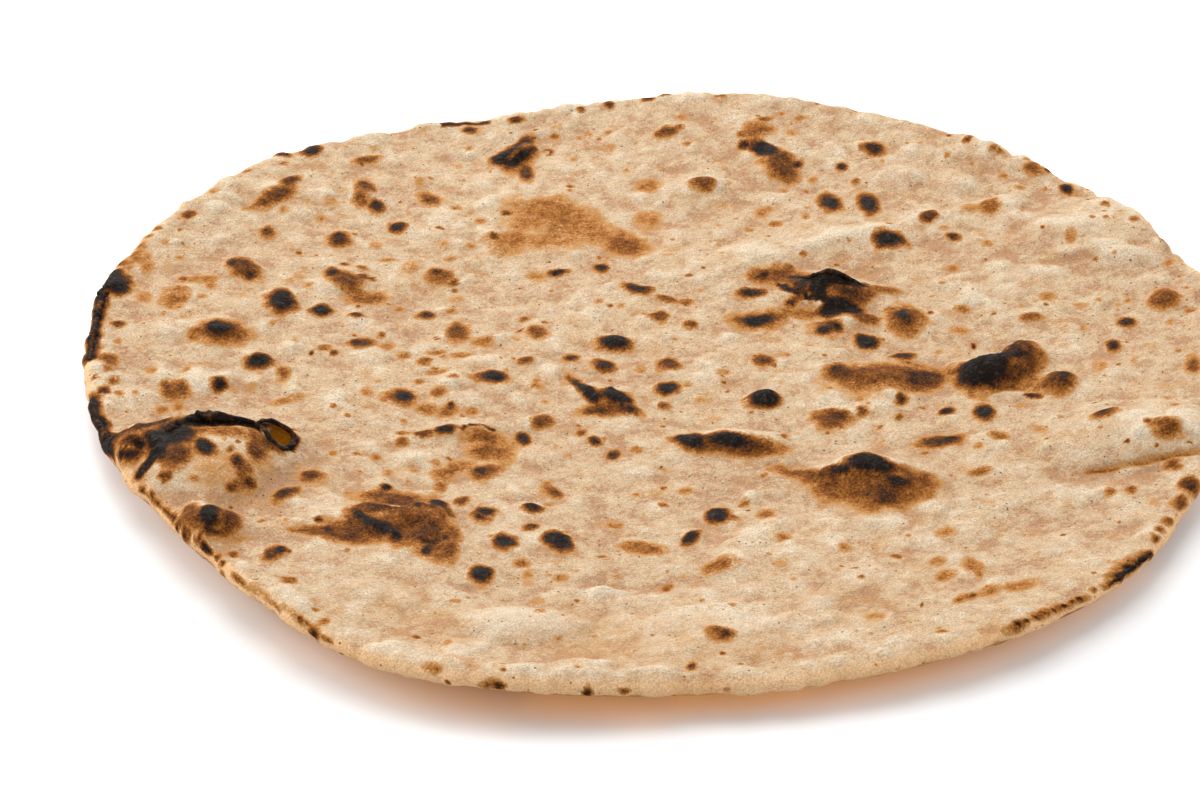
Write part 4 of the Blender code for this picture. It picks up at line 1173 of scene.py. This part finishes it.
# Freckles: usual width and gap in millimetres, share of gaps with a freckle, and field of their crowds
FRECKLES = ((1.9, 6.5, 0.50, "large freckle crowds"), (0.9, 3.4, 0.40, "small freckle crowds"))
FRECKLE_BEND = 0.35
FRECKLE_LEAST = 0.25
FRECKLE_SOFTNESS = 0.7
FRECKLE_HEAT = (0.14, 0.55)
FRECKLE_CROWDS = (0.35, 0.65)
FRECKLE_SHARES = (0.4, 1.4)

# Bran flecks: gap in millimetres, distances of their soft edge for each gap, crowds and strength
FLECK_GAP = 1.3
FLECK_EDGE = (0.23, 0.12)
FLECK_CROWDS = (0.4, 0.65, 0.03, 0.18)
FLECK_MOST = 0.8

# Scorched crust: how fields stir its heat, less at the ground and at the blackest heat, then the heat
# at which each colour starts, is full, and how much of it covers
STIRS = {"coarse stir": 0.8, "fine stir": 1.25}
STIR_GROUND = (0.0, 0.35)
STIR_TOP = (0.85, 1.15, 1.0, 0.35)
HEAT_COLOURS = (
    (GOLD, 0.0, 0.16, 0.85),
    (TAN, 0.10, 0.38, 1.0),
    (BROWN, 0.30, 0.62, 1.0),
    (DARK, 0.58, 0.90, 1.0),
)
CHAR_HEAT = (0.84, 1.06)
ASH_RANGE = (0.50, 0.74, 0.0, 0.7)

# Surface: roughness by heat, shine, and the depth of its bumps in millimetres
ROUGHNESS = (0.7, 1.0, 0.85, 0.68)
SHINE = 0.04
BUMPS = {"bump lumps": 1.15, "bump grain": 0.26}


class Shader:
    """Short calls for a material's nodes."""

    def __init__(self, material):
        material.use_nodes = True
        self.tree = material.node_tree
        self.surface = self.tree.nodes["Principled BSDF"]

    def node(self, kind, *inputs, **settings):
        """A new node with its settings and its first inputs."""
        made = self.tree.nodes.new(kind)
        for name, value in settings.items():
            setattr(made, name, value)
        for socket, value in zip(made.inputs, inputs):
            self.put(socket, value)
        return made

    def put(self, socket, value):
        """Link an output to a socket, or set the socket's own value."""
        if isinstance(value, bpy.types.NodeSocket):
            self.tree.links.new(value, socket)
        else:
            socket.default_value = value

    def place(self):
        """Places on the object, in metres."""
        return self.node("ShaderNodeTexCoord").outputs["Object"]

    def value(self, name):
        """A value kept on the mesh's points."""
        return self.node("ShaderNodeAttribute", attribute_name=name).outputs["Fac"]

    def math(self, operation, *values):
        """Arithmetic on values."""
        return self.node("ShaderNodeMath", *values, operation=operation).outputs[0]

    def times(self, first, second):
        """Product of two values."""
        return self.math("MULTIPLY", first, second)

    def moved(self, place, shift):
        """A place moved by a vector."""
        return self.node("ShaderNodeVectorMath", place, shift, operation="ADD").outputs[0]

    def field(self, name):
        """One of the noise fields, from 0 to 1."""
        wavelength, detail, roughness, offset = FIELDS[name]
        made = self.node("ShaderNodeTexNoise")
        self.put(made.inputs["Vector"], self.moved(self.place(), (offset, 2.0 * offset, 3.0 * offset)))
        made.inputs["Scale"].default_value = 1.0 / (wavelength * MM)
        made.inputs["Detail"].default_value = detail
        made.inputs["Roughness"].default_value = roughness
        return made.outputs["Fac"]

    def cells(self, place, gap):
        """Distance to the nearest of many scattered points, for each gap, and three draws for that point."""
        made = self.node("ShaderNodeTexVoronoi")
        self.put(made.inputs["Vector"], place)
        made.inputs["Scale"].default_value = 1.0 / (gap * MM)
        made.inputs["Randomness"].default_value = 1.0
        draws = self.node("ShaderNodeSeparateColor", made.outputs["Color"])
        return made.outputs["Distance"], draws.outputs

    def spread(self, value, low, high, to_low=0.0, to_high=1.0, kind="SMOOTHSTEP"):
        """Stretch a range of a value to another range."""
        made = self.node("ShaderNodeMapRange", value, low, high, to_low, to_high, interpolation_type=kind)
        return made.outputs["Result"]

    def mix(self, share, first, second, blend="MIX"):
        """Mix two colours."""
        made = self.node("ShaderNodeMix", data_type="RGBA", blend_type=blend)
        self.put(made.inputs[0], share)
        self.put(made.inputs[6], first)
        self.put(made.inputs[7], second)
        return made.outputs[2]


def crust_base(shader):
    """Unburnt crust: cream with wheat grain, pinker or paler at random, with painted highlight on swellings
    and painted shade in hollows.
    """
    # Height paints the tone here: painted highlight on rises, painted shade in hollows.
    tone = shader.times(shader.value("rise"), PAINTED_LIGHT_OF_RISE)
    for name, share in TONE_OF_FIELDS.items():
        tone = shader.math("ADD", tone, shader.times(shader.field(name), share))
    colour = shader.mix(shader.spread(tone, *SHADE_TONES), CREAM, SHADE)
    colour = shader.mix(shader.spread(tone, *PALE_TONES), colour, PALE)
    gold = shader.spread(shader.field("gold"), *GOLD_RANGE)
    colour = shader.mix(shader.times(gold, GOLD_MOST), colour, GOLD)
    # The rim's face takes the bright orange rim colour: golden crust and painted light.
    colour = shader.mix(shader.times(shader.value("edge"), EDGE_PAINTED_LIGHT_MOST), colour, RIM_GOLD_AND_LIGHT)
    colour = shader.mix(shader.times(shader.value("under"), UNDER_MOST), colour, AMBER)
    fine = shader.spread(shader.field("fine grain"), *GRAIN_RANGE, kind="LINEAR")
    grey = shader.node("ShaderNodeCombineColor", fine, fine, fine).outputs[0]
    return shader.mix(1.0, colour, grey, "MULTIPLY")


def freckles(shader, size, gap, share, crowds):
    """Heat of small round freckles: their usual width and gap in millimetres, and how many show."""
    place = shader.place()
    bend = shader.node("ShaderNodeTexNoise")
    shader.put(bend.inputs["Vector"], place)
    bend.inputs["Scale"].default_value = 1.0 / (0.5 * gap * MM)
    amount = shader.node("ShaderNodeVectorMath", bend.outputs["Color"], operation="SCALE")
    amount.inputs["Scale"].default_value = FRECKLE_BEND * gap * MM
    distance, draws = shader.cells(shader.moved(place, amount.outputs[0]), gap)
    reach = shader.math("MULTIPLY_ADD", draws[1], size / gap, FRECKLE_LEAST * size / gap)
    fall = shader.math("SUBTRACT", 1.0, shader.math("DIVIDE", distance, reach))
    spot = shader.spread(fall, 0.0, FRECKLE_SOFTNESS)
    least, most = FRECKLE_SHARES
    crowd = shader.spread(shader.field(crowds), *FRECKLE_CROWDS, least * share, most * share)
    chosen = shader.math("LESS_THAN", draws[0], crowd)
    return shader.times(shader.times(spot, chosen), shader.spread(draws[2], 0.0, 1.0, *FRECKLE_HEAT))


def flecks(shader, colour):
    """Bran: tiny brown specks in the dough."""
    distance, draws = shader.cells(shader.place(), FLECK_GAP)
    spot = shader.spread(distance, *FLECK_EDGE)
    chosen = shader.math("LESS_THAN", draws[0], shader.spread(shader.field("fleck crowds"), *FLECK_CROWDS))
    return shader.mix(shader.times(shader.times(spot, chosen), FLECK_MOST), colour, FLECK)


def stirred_heat(shader):
    """The mesh's heat with freckles, broken up by coarse and fine noise."""
    heat = shader.value("scorch")
    for settings in FRECKLES:
        heat = shader.math("MAXIMUM", heat, freckles(shader, *settings))
    stir = 0.0
    for name, share in STIRS.items():
        swing = shader.times(shader.math("SUBTRACT", shader.field(name), 0.5), share)
        stir = shader.math("ADD", stir, swing)
    stir = shader.times(stir, shader.spread(heat, *STIR_GROUND))
    return shader.math("ADD", heat, shader.times(stir, shader.spread(heat, *STIR_TOP)))


def scorched(shader, colour, heat):
    """Lay gold, tan, brown and black over the crust, by its heat."""
    for tint, low, high, most in HEAT_COLOURS:
        colour = shader.mix(shader.spread(heat, low, high, 0.0, most), colour, tint)
    char = shader.mix(shader.spread(shader.field("ash"), *ASH_RANGE), BLACK, ASH)
    return shader.mix(shader.spread(heat, *CHAR_HEAT), colour, char)


def bumps(shader):
    """Fine bumps of the crust, each kind on top of the one before."""
    made = None
    for name, depth in BUMPS.items():
        below = made
        made = shader.node("ShaderNodeBump")
        made.inputs["Strength"].default_value = 1.0
        made.inputs["Distance"].default_value = depth * MM
        shader.put(made.inputs["Height"], shader.field(name))
        if below:
            shader.put(made.inputs["Normal"], below.outputs[0])
    return made.outputs[0]


def crust_material():
    """Dry baked wheat crust with scorch marks."""
    material = bpy.data.materials.new("scorched_crust")
    shader = Shader(material)
    heat = stirred_heat(shader)
    colour = scorched(shader, flecks(shader, crust_base(shader)), heat)
    surface = shader.surface
    shader.put(surface.inputs["Base Color"], shader.mix(shader.value("mouth"), colour, ORANGE))
    shader.put(surface.inputs["Roughness"], shader.spread(heat, *ROUGHNESS))
    surface.inputs["Specular IOR Level"].default_value = SHINE
    shader.put(surface.inputs["Normal"], bumps(shader))
    return material


def floor_material():
    """Matte pale floor."""
    material = bpy.data.materials.new("white_floor")
    surface = Shader(material).surface
    surface.inputs["Base Color"].default_value = FLOOR_COLOUR
    surface.inputs["Roughness"].default_value = FLOOR_ROUGHNESS
    surface.inputs["Specular IOR Level"].default_value = 0.0
    return material


# ---- floor and light

# The floor: half width and drop below the bread in metres. Its grey shows white in the full light.
FLOOR_REACH = 6.0
FLOOR_DROP = 2e-4
FLOOR_COLOUR = (0.66, 0.66, 0.66, 1.0)
FLOOR_ROUGHNESS = 0.9

# Soft lamps that look at the bread: name, place and width in metres, power in watts
LAMPS = (
    ("top_light", (-0.12, 0.12, 1.0), 0.7, 6.0),
    ("back_light", (-0.15, 1.08, 0.55), 0.7, 15.0),
    ("left_light", (-0.85, 0.05, 0.5), 0.6, 6.5),
    ("right_light", (0.9, -0.2, 0.42), 0.6, 3.0),
)

# Warm light that the thin bread lets through to the floor: a ring of flat lamps under its raised rim,
# strongest in front. Sizes are in millimetres; GLOW_GAP is the gap between a lamp and the bread, and
# the bread's underside is looked for from the height GLOW_VIEW_FROM.
GLOW_COLOUR = (1.0, 0.36, 0.0)
GLOW_COUNT = 26
GLOW_WIDTH = 11.0
GLOW_INSET = 7.5
GLOW_GAP = 0.6
GLOW_RADIANCE = 0.6
GLOW_LEAST_HEIGHT = 0.4
GLOW_MOST_HEIGHT = 20.0
GLOW_BEHIND = 0.15
GLOW_VIEW_FROM = -5.0


def make_floor():
    """A wide pale floor under the bread."""
    sides = ((-1.0, -1.0), (1.0, -1.0), (1.0, 1.0), (-1.0, 1.0))
    corners = [(FLOOR_REACH * x, FLOOR_REACH * y, -FLOOR_DROP) for x, y in sides]
    mesh = bpy.data.meshes.new("floor")
    mesh.from_pydata(corners, [], [(0, 1, 2, 3)])
    mesh.materials.append(floor_material())
    floor = add_object("floor", mesh)


def make_lamp(name, place, size, power):
    """A square soft light that looks at the bread."""
    data = bpy.data.lights.new(name, "AREA")
    data.shape = "SQUARE"
    data.size = size
    data.energy = power
    lamp = add_object(name, data)
    lamp.location = place
    lamp.rotation_euler = (-Vector(place)).to_track_quat("-Z", "Y").to_euler()


def room_under_rim(tree, way, radius, width):
    """Lowest height of the bread's underside above the patch of floor that one glow lamp covers."""
    along = Vector((-way.y, way.x, 0.0))
    lowest = GLOW_MOST_HEIGHT
    for step_out in (-0.5, 0.0, 0.5):
        for step_on in (-0.5, 0.0, 0.5):
            spot = way * (radius + step_out * GLOW_WIDTH) + along * step_on * width
            hit = tree.ray_cast(Vector((spot.x, spot.y, GLOW_VIEW_FROM)), UP)[0]
            lowest = min(lowest, hit.z if hit else lowest)
    return lowest


def glow_lamp(angle, place, width):
    """One flat warm lamp that faces down."""
    data = bpy.data.lights.new("under_glow", "AREA")
    data.shape = "RECTANGLE"
    data.size = width * MM
    data.size_y = GLOW_WIDTH * MM
    front = 0.5 - 0.5 * math.sin(angle)
    share = GLOW_BEHIND + (1.0 - GLOW_BEHIND) * front ** 3
    data.energy = math.pi * data.size * data.size_y * GLOW_RADIANCE * share
    data.color = GLOW_COLOUR
    lamp = add_object("under_glow", data)
    lamp.location = place * MM
    lamp.rotation_euler = (0.0, 0.0, angle + 0.5 * math.pi)
    lamp.visible_camera = False


def make_glow(tree):
    """A ring of warm lamps just under the rim, where it stands clear of the floor."""
    rim = read_rim(tree)
    for number in range(GLOW_COUNT):
        angle = 2.0 * math.pi * number / GLOW_COUNT
        radius = float(rim_radius(rim, np.array([angle]))[0]) - GLOW_INSET
        width = 2.0 * math.pi * radius / GLOW_COUNT
        way = Vector((math.cos(angle), math.sin(angle), 0.0))
        height = room_under_rim(tree, way, radius, width) - GLOW_GAP
        if height >= GLOW_LEAST_HEIGHT:
            glow_lamp(angle, way * radius + height * UP, width)


def make_light():
    """An even white room and four soft lamps: above, behind, on the left and on the right."""
    world = bpy.data.worlds.new("white_room")
    world.use_nodes = True
    background = world.node_tree.nodes["Background"]
    background.inputs["Color"].default_value = (1.0, 1.0, 1.0, 1.0)
    background.inputs["Strength"].default_value = 1.0
    bpy.context.scene.world = world
    for settings in LAMPS:
        make_lamp(*settings)
    bpy.context.scene.view_settings.view_transform = "Standard"


# ---- main


def main():
    make_camera()
    make_light()
    make_floor()
    tree = cad_tree()
    make_glow(tree)
    bread = make_bread(tree)
    crust = crust_material()
    bread.data.materials.append(crust)
    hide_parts("roti")
    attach(bread, "root")
    rolls = make_rolls(tree)
    rolls.data.materials.append(crust)
    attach(rolls, "root")


main()
